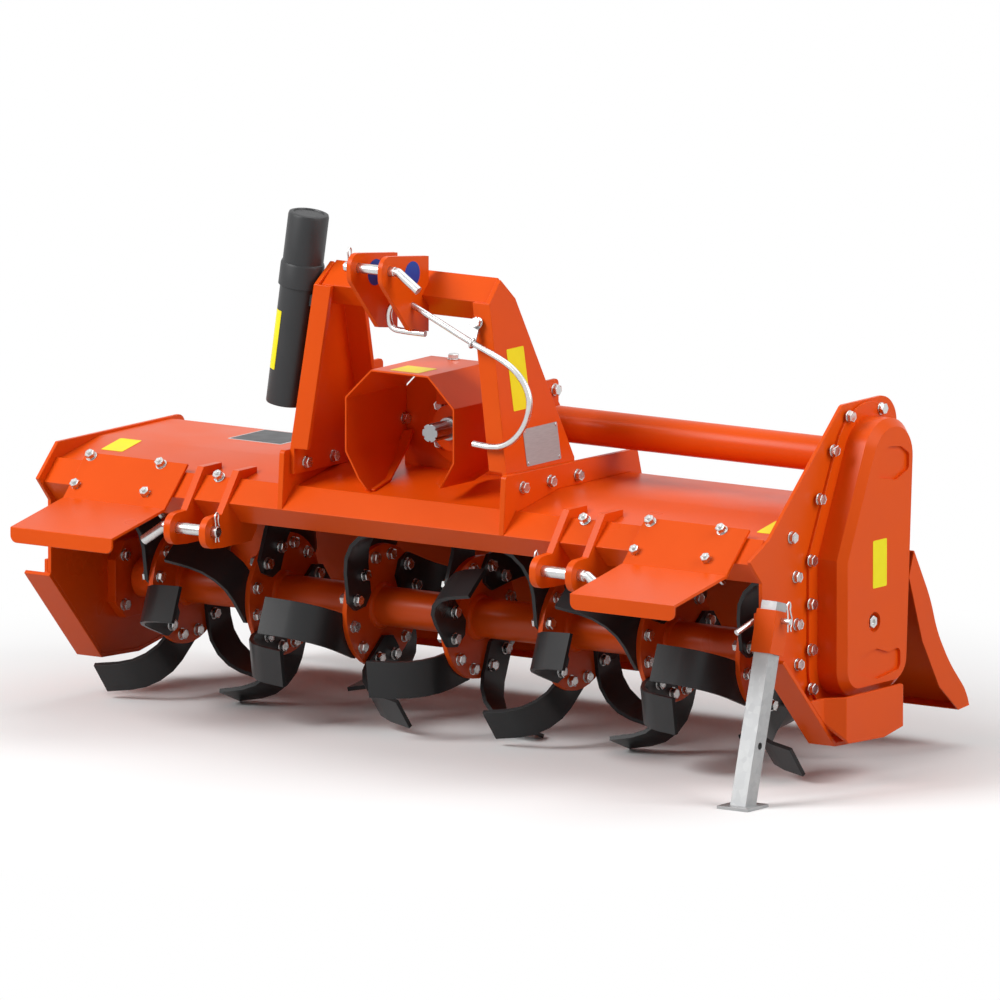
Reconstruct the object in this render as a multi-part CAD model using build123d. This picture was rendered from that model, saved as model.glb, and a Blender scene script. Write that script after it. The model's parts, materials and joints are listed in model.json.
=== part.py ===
from build123d import *
from math import asin, cos, degrees, hypot, pi, radians, sin, tan
import os

# Tractor-mounted rotary tiller: three-point hitch, PTO gearbox, side drive case and tined rotor.
# Millimetres. +Z up, +X to the side that carries the drive case, -Y towards the tractor.
# The model is laid out about the rotor axis (Y = 0, Z = 0) and the hitch's centre plane (X = 0),
# and is moved at the end so that the origin lies on the floor under the middle of the machine.

# ---- end plates ----
LEFT_INNER = -806.0
RIGHT_INNER = 830.0
PLATE = 8.0
LEFT_OUTER = LEFT_INNER - PLATE
RIGHT_OUTER = RIGHT_INNER + PLATE

# ---- rotor ----
FLANGE_COUNT = 7
FLANGE_PITCH = 226.5
FLANGE_MIDDLE_X = 5.9
FLANGE_RADIUS = 118.0
FLANGE_PLATE = 10.0
FLANGE_STEP_ANGLE = 30.0
FIRST_ROOT_ANGLE = 270.9
TINES_PER_FLANGE = 6
ROTOR_TUBE_RADIUS = 38.0
ROTOR_END_GAP = 10.0
STUB_RADIUS = 25.0
STUB_LENGTH = 29.5
RUNNING_GAP = 0.1

# ---- tines: bars laid askew on the flanges, each with its lip bent out to one side ----
TIP_RADIUS = 229.2
TINE_WIDTH = 72.0
TINE_PLATE = 8.0
TINE_ROOT_RADIUS = 99.5
TINE_SKEW_ANGLE = 52.2
TINE_ROOT_END = 43.0
TINE_ROOT_CHAMFER = 20.0
TINE_REACH = 121.5
TINE_BEND_RADIUS = 90.0
TINE_BEND_STEPS = 4
TINE_LEAN_ANGLE = 12.0

# ---- bearings ----
BEARING_PLATE = 20.0
BEARING_WIDTH = 150.0
BEARING_CHAMFER = 34.0

# ---- front beam, hood and tailboard ----
BEAM_SIZE = 60.0
BEAM_WALL = 10.0
BEAM_Y = -239.0
BEAM_Z = 220.0
BEAM_HALF_DIAGONAL = BEAM_SIZE / 2 ** 0.5
BEAM_TOP = BEAM_Z + BEAM_HALF_DIAGONAL
HOOD_SHEET = 5.0
HOOD_TOP = 285.0
HOOD_LAP = 4.0
HOOD_FOLD_Y = -98.0
HOOD_BACK_Y = 136.0
HINGE_Y = 240.0
HINGE_Z = 190.0
HINGE_PIN_RADIUS = 6.0
HINGE_PIN_END = 6.0
HINGE_LUG = 8.0
HINGE_LUG_GAP = 1.0
HINGE_COUNT = 3
HINGE_MARGIN = 100.0
TAIL_SHEET = 2.5
TAIL_CHEEK = 3.0
TAIL_OVERLAP = PLATE / 2

# ---- drive line ----
DRIVE_Y = 83.0
DRIVE_Z = 373.0
DRIVE_TUBE_RADIUS = 34.0
TUBE_FLANGE = 14.0
TUBE_FLANGE_RADIUS = 62.0
OUTLET_LENGTH = 25.0
OUTLET_RADIUS = 55.0
SHAFT_RADIUS = 17.45
SHAFT_FRONT_Y = -150.0
SHAFT_SHOULDER = 14.0
SPLINE_COUNT = 6
SPLINE_GROOVE_WIDTH = 3.6
SPLINE_GROOVE_DEPTH = 2.4
JOURNAL_RADIUS = 22.0
JOURNAL_LENGTH = 70.0
GEARBOX_FRONT_Y = -38.0
GEARBOX_BACK_Y = 148.0
GEARBOX_HALF_WIDTH = 80.0
GEARBOX_TOP = 466.0
GEARBOX_CORNER = 26.0
GEARBOX_FOOT = 16.0
GEARBOX_PLATE = 10.0
GEARBOX_PLATE_HALF_WIDTH = 137.0
GEARBOX_PLATE_CORNER = 34.0
NOSE_RADIUS = 45.0
NOSE_LENGTH = 40.0
COVER_RADIUS = 76.0
COVER_PLATE = 9.0
CASE_DEPTH = 65.0
CASE_BEVEL = 15.0
CASE_FLANGE = 6.0
CASE_RIM = 27.0
PRESSING_DEPTH = 4.0
PRESSING_TAPER = 55.0

# ---- PTO guard ----
GUARD_X = -9.0
GUARD_DEPTH = 199.0
GUARD_SHELL = 4.0
GUARD_TOP = 500.0
GUARD_LOW = 288.0
GUARD_REAR_LOW = 324.0
GUARD_FOOT_Y = (-225.0, -166.0)
GUARD_FOLD_Z = (337.5, 442.0)
GUARD_LOW_HALF = 97.0
GUARD_SIDE_HALF = 126.5
GUARD_TOP_HALF = 66.0
GUARD_LUG_X = -23.0
GUARD_LUG_WIDTH = 40.0
GUARD_LUG_REACH = 30.0

# ---- three-point hitch ----
LOWER_SPREAD = 846.0
LOWER_PIN_RADIUS = 11.0
LOWER_PIN_Y = -330.0
LOWER_PIN_Z = 172.5
LOWER_PLATE = 15.0
LOWER_GAP = 67.0
LOWER_NOSE = 28.0
TOP_PIN_RADIUS = 9.5
TOP_PIN_Y = -337.0
TOP_PIN_Z = 712.0
TOP_PLATE = 10.0
TOP_GAP = 62.0
TOP_NOSE = 28.0
PIN_PLAY = 0.3
PIN_SIDES = 24
PIN_HANDLE = 56.0
PIN_HANDLE_ANGLE = 34.0
HOOK_Y = -264.0
HOOK_Z = 638.0
HOOK_RADIUS = 5.0

# ---- mast ----
CROSSBAR_Y = -191.0
CROSSBAR_Z = 652.0
CROSSBAR_HALF = 240.0
MAST_PLATE = 10.0
MAST_FRONT_Y = -255.0
MAST_REAR_Y = -29.0
MAST_HEAD_MARGIN = 9.5
MAST_REAR_DROP = 20.0
MAST_FOLD_Z = 335.0
MAST_FOLD_X = 250.0
MAST_SPLAY = 8.4
MAST_FRONT_FLANGE = 40.0
MAST_REAR_FLANGE = 57.0
MAST_SLOPE = tan(radians(MAST_SPLAY))
MAST_LUG_X = 203.0
MAST_LUG_PLATE = 8.0
MAST_LUG_BACK_Y = -19.5
MAST_LUG_Z = (428.0, 481.0)
FOOT_PLATE = 12.0

# ---- skids ----
SKID_PLATE = 8.0
SKID_WIDTH = 60.0

# ---- front guards ----
GUARD_SHEET = 6.0
LEFT_GUARD_X = (-739.0, -502.0)
RIGHT_GUARD_X = (556.0, 793.0)
CLAMP_INSET = 16.0
CLAMP_PITCH = 163.0
CLAMP_X = [
    low + inset
    for low in (LEFT_GUARD_X[0], RIGHT_GUARD_X[0])
    for inset in (CLAMP_INSET, CLAMP_INSET + CLAMP_PITCH)
]
CLAMP_ROD_RADIUS = 5.0
CLAMP_ROOM = 1.0

# ---- canister ----
CANISTER_RADIUS = 38.0
CANISTER_LENGTH = 375.0
CANISTER_LIFT = 72.0
CANISTER_STANDOFF = 9.0
CANISTER_CAP = 96.0
CANISTER_BAND = 44.0
CANISTER_BAND_RIM = 4.0

# ---- parking stand ----
STAND_LEAN = 15.5
LEG_SIZE = 35.0
LEG_WALL = 3.0
LEG_ABOVE = 17.0
LEG_CLEARANCE = 0.5
SLEEVE_SIZE = 45.0
SLEEVE_LENGTH = 82.0
SLEEVE_SPACER = 6.0
STAND_Y = -273.0
STAND_Z = 95.0
STAND_X = RIGHT_OUTER + SLEEVE_SPACER + SLEEVE_SIZE / 2
STAND_HOLE_RADIUS = 7.0
STAND_HOLE_Z = -112.0
STAND_FOOT = 70.0
STAND_FOOT_PLATE = 6.0


# ---- helpers ----

def offset_path(points, distance):
    """Points of an open path moved to its left by a distance, with mitred corners."""
    moved = []
    for index, (a, b) in enumerate(points):
        normals = []
        for start in (index - 1, index):
            if 0 <= start < len(points) - 1:
                along = points[start + 1][0] - points[start][0]
                up = points[start + 1][1] - points[start][1]
                length = hypot(along, up)
                normals.append((-up / length, along / length))
        na = sum(normal[0] for normal in normals)
        nb = sum(normal[1] for normal in normals)
        scale = len(normals) * distance / (na * na + nb * nb)
        moved.append((a + na * scale, b + nb * scale))
    return moved


def strip(path, thickness):
    """Corners of a sheet's section: the path, then the path moved left by the thickness."""
    return list(path) + offset_path(path, thickness)[::-1]


def section(corners):
    """Flat face from (along, up) or (along, up, radius) corners."""
    face = make_face(Polyline(*[(corner[0], corner[1]) for corner in corners], close=True)).face()
    for corner in corners:
        if len(corner) == 3:
            spot = Vector(corner[0], corner[1])
            vertex = min(face.vertices(), key=lambda v: (Vector(v.X, v.Y) - spot).length)
            face = face.fillet_2d(corner[2], [vertex])
    return face


def across(corners, low_x, high_x):
    """Prism along X from corners given as (Y, Z) or (Y, Z, radius)."""
    return extrude(Plane.YZ.offset(low_x) * section(corners), high_x - low_x)


def along_y(sketch, front_y, back_y):
    """Prism along Y from a sketch given in (X, Z)."""
    return extrude(Plane.XZ.offset(-back_y) * sketch, back_y - front_y)


def rod_x(radius, y, z, low_x, high_x):
    """Round bar along X."""
    return extrude(Plane.YZ.offset(low_x) * Pos(y, z) * Circle(radius), high_x - low_x)


def rod_y(radius, x, z, front_y, back_y):
    """Round bar along Y."""
    return along_y(Pos(x, z) * Circle(radius), front_y, back_y)


def facet_rod_x(radius, y, z, low_x, high_x, sides=36):
    """Bar along X with a fine many-sided section, where nothing turns on it."""
    face = Pos(y, z) * RegularPolygon(radius, sides)
    return extrude(Plane.YZ.offset(low_x) * face, high_x - low_x)


def bent_rod(radius, points):
    """Eight-sided rod along straight lines, mitred at each bend."""
    path = Polyline(*points)
    face = Plane(origin=path @ 0, z_dir=path % 0) * RegularPolygon(radius, 8)
    return sweep(face, path=path, transition=Transition.RIGHT)


def diamond(size, y, z):
    """Corners of a square that stands on a corner, in the YZ plane."""
    half = size / 2 ** 0.5
    return [(y - half, z), (y, z + half), (y + half, z), (y, z - half)]


def square_tube_x(size, wall, y, z, low_x, high_x):
    """Square tube along X that stands on a corner."""
    outer = across(diamond(size, y, z), low_x, high_x)
    inner = across(diamond(size - 2 * wall, y, z), low_x, high_x)
    return outer - inner


# ---- rotor ----

def tine():
    """One blade pointing along +Y, bolted on a flange face at X = 0, its lip bent to +X."""
    root_along = TINE_ROOT_RADIUS * cos(radians(TINE_SKEW_ANGLE))
    root_side = TINE_ROOT_RADIUS * sin(radians(TINE_SKEW_ANGLE))
    start = root_along - TINE_ROOT_END
    low = root_side - TINE_WIDTH / 2
    high = root_side + TINE_WIDTH / 2
    tip = (TIP_RADIUS ** 2 - high ** 2) ** 0.5
    outline = [(start, low + TINE_ROOT_CHAMFER), (start + TINE_ROOT_CHAMFER, low), (tip, low),
               (tip, high), (start + TINE_ROOT_CHAMFER, high), (start, high - TINE_ROOT_CHAMFER)]
    bar = across(outline, 0, TINE_REACH + TINE_PLATE)
    lean = radians(TINE_LEAN_ANGLE)
    outer = tip - TINE_REACH * tan(lean)
    turn = pi / 2 - lean
    tangent = outer - TINE_BEND_RADIUS * tan(turn / 2)
    path = [(0, 0)]
    for step in range(TINE_BEND_STEPS + 1):
        angle = turn * step / TINE_BEND_STEPS
        path.append((tangent + TINE_BEND_RADIUS * sin(angle), TINE_BEND_RADIUS * (1 - cos(angle))))
    path.append((tip, TINE_REACH))
    edge_on = Plane(origin=(0, 0, TIP_RADIUS), x_dir=(0, 1, 0), z_dir=(0, 0, -1))
    folded = extrude(edge_on * section(strip(path, TINE_PLATE)), 2 * TIP_RADIUS)
    return bar & folded


def tine_set():
    """A flange in the plane X = 0 with its blades, bent to one side and the other in turn."""
    right = Pos(FLANGE_PLATE / 2, 0, 0) * tine()
    left = mirror(right, about=Plane.YZ)
    flange = facet_rod_x(FLANGE_RADIUS, 0, 0, -FLANGE_PLATE / 2, FLANGE_PLATE / 2)
    blades = []
    for index in range(TINES_PER_FLANGE):
        blade = right if index % 2 else left
        blades.append(Rot(360 / TINES_PER_FLANGE * index, 0, 0) * blade)
    return flange.fuse(*blades)


def rotor():
    """Tube with its flanges and blades and a stub shaft at each end."""
    low = LEFT_INNER + BEARING_PLATE + ROTOR_END_GAP
    high = RIGHT_INNER - BEARING_PLATE - ROTOR_END_GAP
    tube = facet_rod_x(ROTOR_TUBE_RADIUS, 0, 0, low, high)
    stubs = rod_x(STUB_RADIUS, 0, 0, low - STUB_LENGTH, high + STUB_LENGTH)
    one = tine_set()
    sets = []
    for index in range(FLANGE_COUNT):
        x = FLANGE_MIDDLE_X + FLANGE_PITCH * (index - (FLANGE_COUNT - 1) / 2)
        turned = Rot(FIRST_ROOT_ANGLE - TINE_SKEW_ANGLE + FLANGE_STEP_ANGLE * index, 0, 0) * one
        sets.append(Pos(x, 0, 0) * turned)
    return tube.fuse(stubs, *sets)


def bearing(inner_x, side):
    """Square bearing housing on an end plate's inner face; side is +1 where it faces +X."""
    half = BEARING_WIDTH / 2
    cut = half - BEARING_CHAMFER
    outline = [(-half, -cut), (-cut, -half), (cut, -half), (half, -cut),
               (half, cut), (cut, half), (-cut, half), (-half, cut)]
    far = inner_x + side * BEARING_PLATE
    housing = across(outline, min(inner_x, far), max(inner_x, far))
    return housing - rod_x(STUB_RADIUS + RUNNING_GAP, 0, 0, inner_x - STUB_LENGTH, inner_x + STUB_LENGTH)


# ---- body ----

def plate_edge():
    """Lower edge of an end plate, front to back, as (Y, Z): the skid's sole follows it."""
    return [(-258, 182), (-258, 41), (-88, -139), (30, -144), (115, -128), (183, -50)]


def left_end_plate():
    outline = [(-298, 228), *plate_edge(), (183, 289, 22), (-233, 291)]
    return across(outline, LEFT_OUTER, LEFT_INNER)


def right_end_plate():
    """End plate that rises behind the drive case."""
    outline = [(-298, 228), *plate_edge(), (190, 60), (190, 486, 55), (8, 486, 16), (-233, 262)]
    return across(outline, RIGHT_INNER, RIGHT_OUTER)


def front_beam():
    return square_tube_x(BEAM_SIZE, BEAM_WALL, BEAM_Y, BEAM_Z, LEFT_INNER, RIGHT_INNER)


def hood_path():
    """Upper surface of the hood, front to back, as (Y, Z)."""
    return [
        (BEAM_Y + HOOD_LAP, BEAM_TOP - HOOD_LAP),
        (HOOD_FOLD_Y, HOOD_TOP),
        (HOOD_BACK_Y, HOOD_TOP),
        (HINGE_Y - 11, HINGE_Z + 2),
    ]


def hood_z(y):
    """Height of the hood's sloped upper surface, in front of its fold."""
    front_y, front_z = hood_path()[0]
    return HOOD_TOP + (y - HOOD_FOLD_Y) * (HOOD_TOP - front_z) / (HOOD_FOLD_Y - front_y)


def hood():
    """Folded sheet from the beam's rear upper face over the rotor to the tailboard's hinge."""
    path = hood_path()
    below = offset_path(path, -HOOD_SHEET)
    below[0] = (path[0][0] + HOOD_SHEET, path[0][1] - HOOD_SHEET)
    sheet = across(path + below[::-1], LEFT_INNER, RIGHT_INNER)
    for x in CLAMP_X:
        sheet = sheet - clamp_room(x)
    for side in (1, -1):
        sheet = sheet - lower_bracket(side)
    return sheet


def hinge_places():
    """Middle of each hinge along X."""
    span = RIGHT_INNER - LEFT_INNER - 2 * HINGE_MARGIN
    return [LEFT_INNER + HINGE_MARGIN + span * index / (HINGE_COUNT - 1) for index in range(HINGE_COUNT)]


def tailboard():
    """Curved skirt behind the rotor, with side cheeks and lugs that hang on the hinge pins."""
    path = [(255, 173), (310, 74), (333, 7), (374, -58), (436, -126), (441, -150), (405, -154)]
    low_x = LEFT_INNER - TAIL_OVERLAP
    high_x = RIGHT_INNER + TAIL_OVERLAP
    board = across(strip(path, -TAIL_SHEET), low_x, high_x)
    cheek = [*path, (340, -100, 20), (283, -4, 20), (238, 124)]
    board += across(cheek, low_x, low_x + TAIL_CHEEK)
    board += across(cheek, high_x - TAIL_CHEEK, high_x)
    lug = [(HINGE_Y - 11, HINGE_Z), (HINGE_Y, HINGE_Z + 11), (HINGE_Y + 11, HINGE_Z + 2),
           (262, 160), (280, 128), (248, 160), (HINGE_Y - 6, HINGE_Z - 11)]
    for x in hinge_places():
        board += across(lug, x + HINGE_LUG_GAP, x + HINGE_LUG_GAP + HINGE_LUG)
    return board - rod_x(HINGE_PIN_RADIUS + RUNNING_GAP, HINGE_Y, HINGE_Z, low_x, high_x)


def tailboard_hinge():
    """Lugs welded to the hood's rear edge, each with a pin for the tailboard."""
    edge = hood_path()[3]
    lug = [(HINGE_Y + 9, HINGE_Z - 7), (HINGE_Y + 9, HINGE_Z + 7), (HINGE_Y, HINGE_Z + 12),
           edge, (edge[0] - 4, edge[1] - 4), (HINGE_Y - 4, HINGE_Z - 11)]
    hinges = []
    for x in hinge_places():
        hinge = across(lug, x - HINGE_LUG_GAP - HINGE_LUG, x - HINGE_LUG_GAP)
        end = x + HINGE_LUG_GAP + HINGE_LUG + HINGE_PIN_END
        hinges.append(hinge + rod_x(HINGE_PIN_RADIUS, HINGE_Y, HINGE_Z, x - HINGE_LUG_GAP, end))
    return Compound([solid for hinge in hinges for solid in hinge.solids()])


# ---- drive line ----

def gearbox():
    """Cast housing with a nose round the input shaft, an outlet for the drive tube, and feet on the hood."""
    side = [(GEARBOX_FRONT_Y, HOOD_TOP), (GEARBOX_FRONT_Y, GEARBOX_TOP - GEARBOX_CORNER),
            (GEARBOX_FRONT_Y + GEARBOX_CORNER, GEARBOX_TOP),
            (GEARBOX_BACK_Y - 2 * GEARBOX_CORNER, GEARBOX_TOP),
            (GEARBOX_BACK_Y, GEARBOX_TOP - 2 * GEARBOX_CORNER), (GEARBOX_BACK_Y, HOOD_TOP)]
    block = across(side, -GEARBOX_HALF_WIDTH, GEARBOX_HALF_WIDTH)
    low = GEARBOX_HALF_WIDTH - GEARBOX_CORNER
    front = [(-GEARBOX_HALF_WIDTH, HOOD_TOP), (-GEARBOX_HALF_WIDTH, GEARBOX_TOP - GEARBOX_CORNER),
             (-low, GEARBOX_TOP), (low, GEARBOX_TOP), (GEARBOX_HALF_WIDTH, GEARBOX_TOP - GEARBOX_CORNER),
             (GEARBOX_HALF_WIDTH, HOOD_TOP)]
    block = block & along_y(section(front), GEARBOX_FRONT_Y, GEARBOX_BACK_Y)
    middle_y = (GEARBOX_FRONT_Y + GEARBOX_BACK_Y) / 2
    foot = Pos(0, middle_y, HOOD_TOP + GEARBOX_FOOT / 2) * Box(250, 150, GEARBOX_FOOT)
    wide = GEARBOX_PLATE_HALF_WIDTH
    corner_x = wide - GEARBOX_PLATE_CORNER
    corner_z = GEARBOX_TOP - GEARBOX_PLATE_CORNER
    plate = [(-wide, HOOD_TOP), (-wide, corner_z), (-corner_x, GEARBOX_TOP), (corner_x, GEARBOX_TOP),
             (wide, corner_z), (wide, HOOD_TOP)]
    plate = along_y(section(plate), GEARBOX_FRONT_Y, GEARBOX_FRONT_Y + GEARBOX_PLATE)
    cover = Pos(0, DRIVE_Z) * RegularPolygon(COVER_RADIUS, 36)
    cover = along_y(cover, GEARBOX_FRONT_Y - COVER_PLATE, GEARBOX_FRONT_Y)
    nose = rod_y(NOSE_RADIUS, 0, DRIVE_Z, GEARBOX_FRONT_Y - NOSE_LENGTH, GEARBOX_FRONT_Y)
    outlet = facet_rod_x(OUTLET_RADIUS, DRIVE_Y, DRIVE_Z, 0, GEARBOX_HALF_WIDTH + OUTLET_LENGTH)
    inside = GUARD_TOP - GUARD_SHELL
    lug = Box(GUARD_LUG_WIDTH, GUARD_LUG_REACH + 10, inside - GEARBOX_TOP + 2 * GEARBOX_CORNER,
              align=(Align.CENTER, Align.MIN, Align.MAX))
    lug = Pos(GUARD_LUG_X, GEARBOX_FRONT_Y - GUARD_LUG_REACH, inside) * lug
    journal = rod_y(JOURNAL_RADIUS + RUNNING_GAP, 0, DRIVE_Z, GEARBOX_FRONT_Y - NOSE_LENGTH,
                    GEARBOX_FRONT_Y - NOSE_LENGTH + JOURNAL_LENGTH + 2)
    return block.fuse(foot, plate, cover, nose, outlet, lug) - journal


def input_shaft():
    """Splined stub of the gearbox's input shaft, stepped up to its journal."""
    shoulder = GEARBOX_FRONT_Y - NOSE_LENGTH - SHAFT_SHOULDER
    stub = rod_y(SHAFT_RADIUS, 0, DRIVE_Z, SHAFT_FRONT_Y, shoulder)
    journal = rod_y(JOURNAL_RADIUS, 0, DRIVE_Z, shoulder, shoulder + SHAFT_SHOULDER + JOURNAL_LENGTH)
    groove = Pos(0, SHAFT_RADIUS) * Rectangle(SPLINE_GROOVE_WIDTH, 2 * SPLINE_GROOVE_DEPTH)
    shaft = stub + journal
    for index in range(SPLINE_COUNT):
        turned = Pos(0, DRIVE_Z) * Rot(0, 0, 360 / SPLINE_COUNT * index) * groove
        shaft = shaft - along_y(turned, SHAFT_FRONT_Y, shoulder)
    return shaft


def drive_tube():
    """Tube with the cross shaft in it, from the gearbox to a flange on the right end plate."""
    low = GEARBOX_HALF_WIDTH + OUTLET_LENGTH
    tube = facet_rod_x(DRIVE_TUBE_RADIUS, DRIVE_Y, DRIVE_Z, low, RIGHT_INNER)
    flange = facet_rod_x(TUBE_FLANGE_RADIUS, DRIVE_Y, DRIVE_Z, RIGHT_INNER - TUBE_FLANGE, RIGHT_INNER)
    return tube + flange


def case_outline(rim):
    """Drive case's outline in the YZ plane, grown all round by rim."""
    return [
        (-83 - rim, -58 - rim, 55 + rim),
        (142 + rim, -58 - rim, 55 + rim),
        (142 + rim, 220),
        (165 + rim, 300),
        (165 + rim, 455 + rim, 80 + rim),
        (30 - rim * 0.6, 455 + rim, 80 + rim),
        (-83 - rim, 205 + rim * 0.4),
    ]


def side_drive_case():
    """Bevelled cover over the gear train, with a rim on the end plate and two pressings in its face."""
    face_x = RIGHT_OUTER + CASE_DEPTH
    body = across(case_outline(0), RIGHT_OUTER, face_x)
    body = chamfer(body.faces().sort_by(Axis.X)[-1].edges(), CASE_BEVEL)
    body += across(case_outline(CASE_RIM), RIGHT_OUTER, RIGHT_OUTER + CASE_FLANGE)
    upper = [(26, 352), (32, 388), (70, 408), (112, 402), (146, 384), (146, 352), (92, 336)]
    lower = [(-38, -16), (-30, 14), (28, 25), (70, 12), (112, 18), (112, -24), (34, -34)]
    for pressing in (upper, lower):
        tool = extrude(Plane.YZ.offset(face_x) * section(pressing), -PRESSING_DEPTH, taper=PRESSING_TAPER)
        body -= tool
    return body


def below_hood():
    """Everything below the hood's upper surface, between the end plates."""
    path = hood_path()
    corners = [(path[0][0] - 200, path[0][1] - 200), (path[0][0] - 4, path[0][1] + 4), *path[1:],
               (path[-1][0], path[0][1] - 200)]
    return across(corners, LEFT_INNER, RIGHT_INNER)


def pto_guard():
    """Sheet folded in eight round the input shaft, from the gearbox's plate to two feet on the hood."""
    low_fold, high_fold = GUARD_FOLD_Z
    front = GEARBOX_FRONT_Y - GUARD_DEPTH
    low_slope = (GUARD_SIDE_HALF - GUARD_LOW_HALF) / (low_fold - GUARD_LOW)
    foot_z = hood_path()[0][1]
    foot_half = GUARD_LOW_HALF - low_slope * (GUARD_LOW - foot_z)
    left = [(-foot_half, foot_z), (-GUARD_SIDE_HALF, low_fold), (-GUARD_SIDE_HALF, high_fold),
            (-GUARD_TOP_HALF, GUARD_TOP)]
    path = left + [(-x, z) for x, z in left[::-1]]
    shell = along_y(Pos(GUARD_X, 0) * section(strip(path, -GUARD_SHELL)), front, GEARBOX_FRONT_Y)
    foot_front, foot_back = GUARD_FOOT_Y
    side = [(front, GUARD_TOP), (front, GUARD_LOW), (foot_front, foot_z), (foot_back, foot_z),
            (foot_back, hood_z(foot_back)),
            (GEARBOX_FRONT_Y, GUARD_REAR_LOW), (GEARBOX_FRONT_Y, GUARD_TOP)]
    outline = across(side, GUARD_X - GUARD_SIDE_HALF, GUARD_X + GUARD_SIDE_HALF)
    return (shell & outline) - below_hood()


# ---- three-point hitch ----

def upright(side):
    """Folded channel of the mast; side is +1 on the +X side."""
    front_foot = MAST_FRONT_Y
    rear_foot = MAST_REAR_Y
    front_top = (CROSSBAR_Y - BEAM_HALF_DIAGONAL - MAST_HEAD_MARGIN, CROSSBAR_Z)
    rear_top = (CROSSBAR_Y + 34, CROSSBAR_Z)
    peak = (CROSSBAR_Y - 6, CROSSBAR_Z + 40)
    rear_run = (CROSSBAR_Z - MAST_REAR_DROP - MAST_FOLD_Z) / (CROSSBAR_Z - MAST_FOLD_Z)
    rear_flange_top = (rear_foot + (rear_top[0] - rear_foot) * rear_run, CROSSBAR_Z - MAST_REAR_DROP)

    def at(y, z, inward=0):
        return (side * (MAST_FOLD_X - inward - max(0, z - MAST_FOLD_Z) * MAST_SLOPE), y, z)

    def slab(points, direction):
        return extrude(make_face(Polyline(*points, close=True)), MAST_PLATE, dir=direction)

    inward = (-side, 0, 0)
    web = slab([at(front_foot, MAST_FOLD_Z), at(rear_foot, MAST_FOLD_Z), at(*rear_top), at(*peak),
                at(*front_top)], inward)
    tab = slab([at(front_foot, HOOD_TOP), at(rear_foot, HOOD_TOP), at(rear_foot, MAST_FOLD_Z),
                at(front_foot, MAST_FOLD_Z)], inward)
    front = slab([at(front_foot, MAST_FOLD_Z), at(*front_top), at(*front_top, MAST_FRONT_FLANGE),
                  at(front_foot, MAST_FOLD_Z, MAST_FRONT_FLANGE)], (0, 1, 0))
    rear = slab([at(rear_foot, MAST_FOLD_Z), at(*rear_flange_top), at(*rear_flange_top, MAST_REAR_FLANGE),
                 at(rear_foot, MAST_FOLD_Z, MAST_REAR_FLANGE)], (0, -1, 0))
    rear_lean = (rear_flange_top[0] - rear_foot) / (rear_flange_top[1] - MAST_FOLD_Z)
    low_z, high_z = MAST_LUG_Z
    lug = [(rear_foot + rear_lean * (low_z - MAST_FOLD_Z), low_z), (MAST_LUG_BACK_Y, low_z),
           (MAST_LUG_BACK_Y, high_z, 10), (rear_foot + rear_lean * (high_z - MAST_FOLD_Z), high_z)]
    lug_x = side * MAST_LUG_X - MAST_LUG_PLATE / 2
    lug = across(lug, lug_x, lug_x + MAST_LUG_PLATE)
    return web.fuse(tab, front, rear, lug)


def mast_crossbar():
    """Square tube between the uprights, its ends cut to their slope."""
    bar = square_tube_x(BEAM_SIZE, BEAM_WALL, CROSSBAR_Y, CROSSBAR_Z, -CROSSBAR_HALF, CROSSBAR_HALF)
    for side in (1, -1):
        rise = [200, 400]
        inner = [side * (MAST_FOLD_X - MAST_PLATE - up * MAST_SLOPE) for up in rise]
        beyond = [(inner[0], MAST_FOLD_Z + rise[0]), (side * 400, MAST_FOLD_Z + rise[0]),
                  (side * 400, MAST_FOLD_Z + rise[1]), (inner[1], MAST_FOLD_Z + rise[1])]
        bar = bar - along_y(section(beyond), CROSSBAR_Y - BEAM_SIZE, CROSSBAR_Y + BEAM_SIZE)
    return bar


def foot_plate(side):
    """Mast foot on the beam and hood, bolted to the outside of an upright."""
    outline = [(BEAM_Y - BEAM_HALF_DIAGONAL, BEAM_Z), (BEAM_Y, BEAM_TOP), *hood_path()[:2],
               (HOOD_BACK_Y, HOOD_TOP), (165, 264), (181, 264), (163, 326, 10), (-273, 333, 8)]
    low = MAST_FOLD_X if side > 0 else -MAST_FOLD_X - FOOT_PLATE
    return across(outline, low, low + FOOT_PLATE)


def top_link_bracket():
    """Two ears for the top link, welded on the crossbar."""
    nose = TOP_PIN_Y - TOP_NOSE
    ear = [(nose, TOP_PIN_Z - 20, 25), (nose, 744, 25), (-211, 725), (-211, 581), (-273, 590)]
    half = TOP_GAP / 2
    bar = across(diamond(BEAM_SIZE, CROSSBAR_Y, CROSSBAR_Z), -TOP_GAP, TOP_GAP)
    hole = facet_rod_x(TOP_PIN_RADIUS + PIN_PLAY, TOP_PIN_Y, TOP_PIN_Z, -TOP_GAP, TOP_GAP, PIN_SIDES)
    ears = across(ear, half, half + TOP_PLATE) + across(ear, -half - TOP_PLATE, -half)
    return ears - bar - hole - driveline_hook(HOOK_RADIUS + 1)


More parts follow.
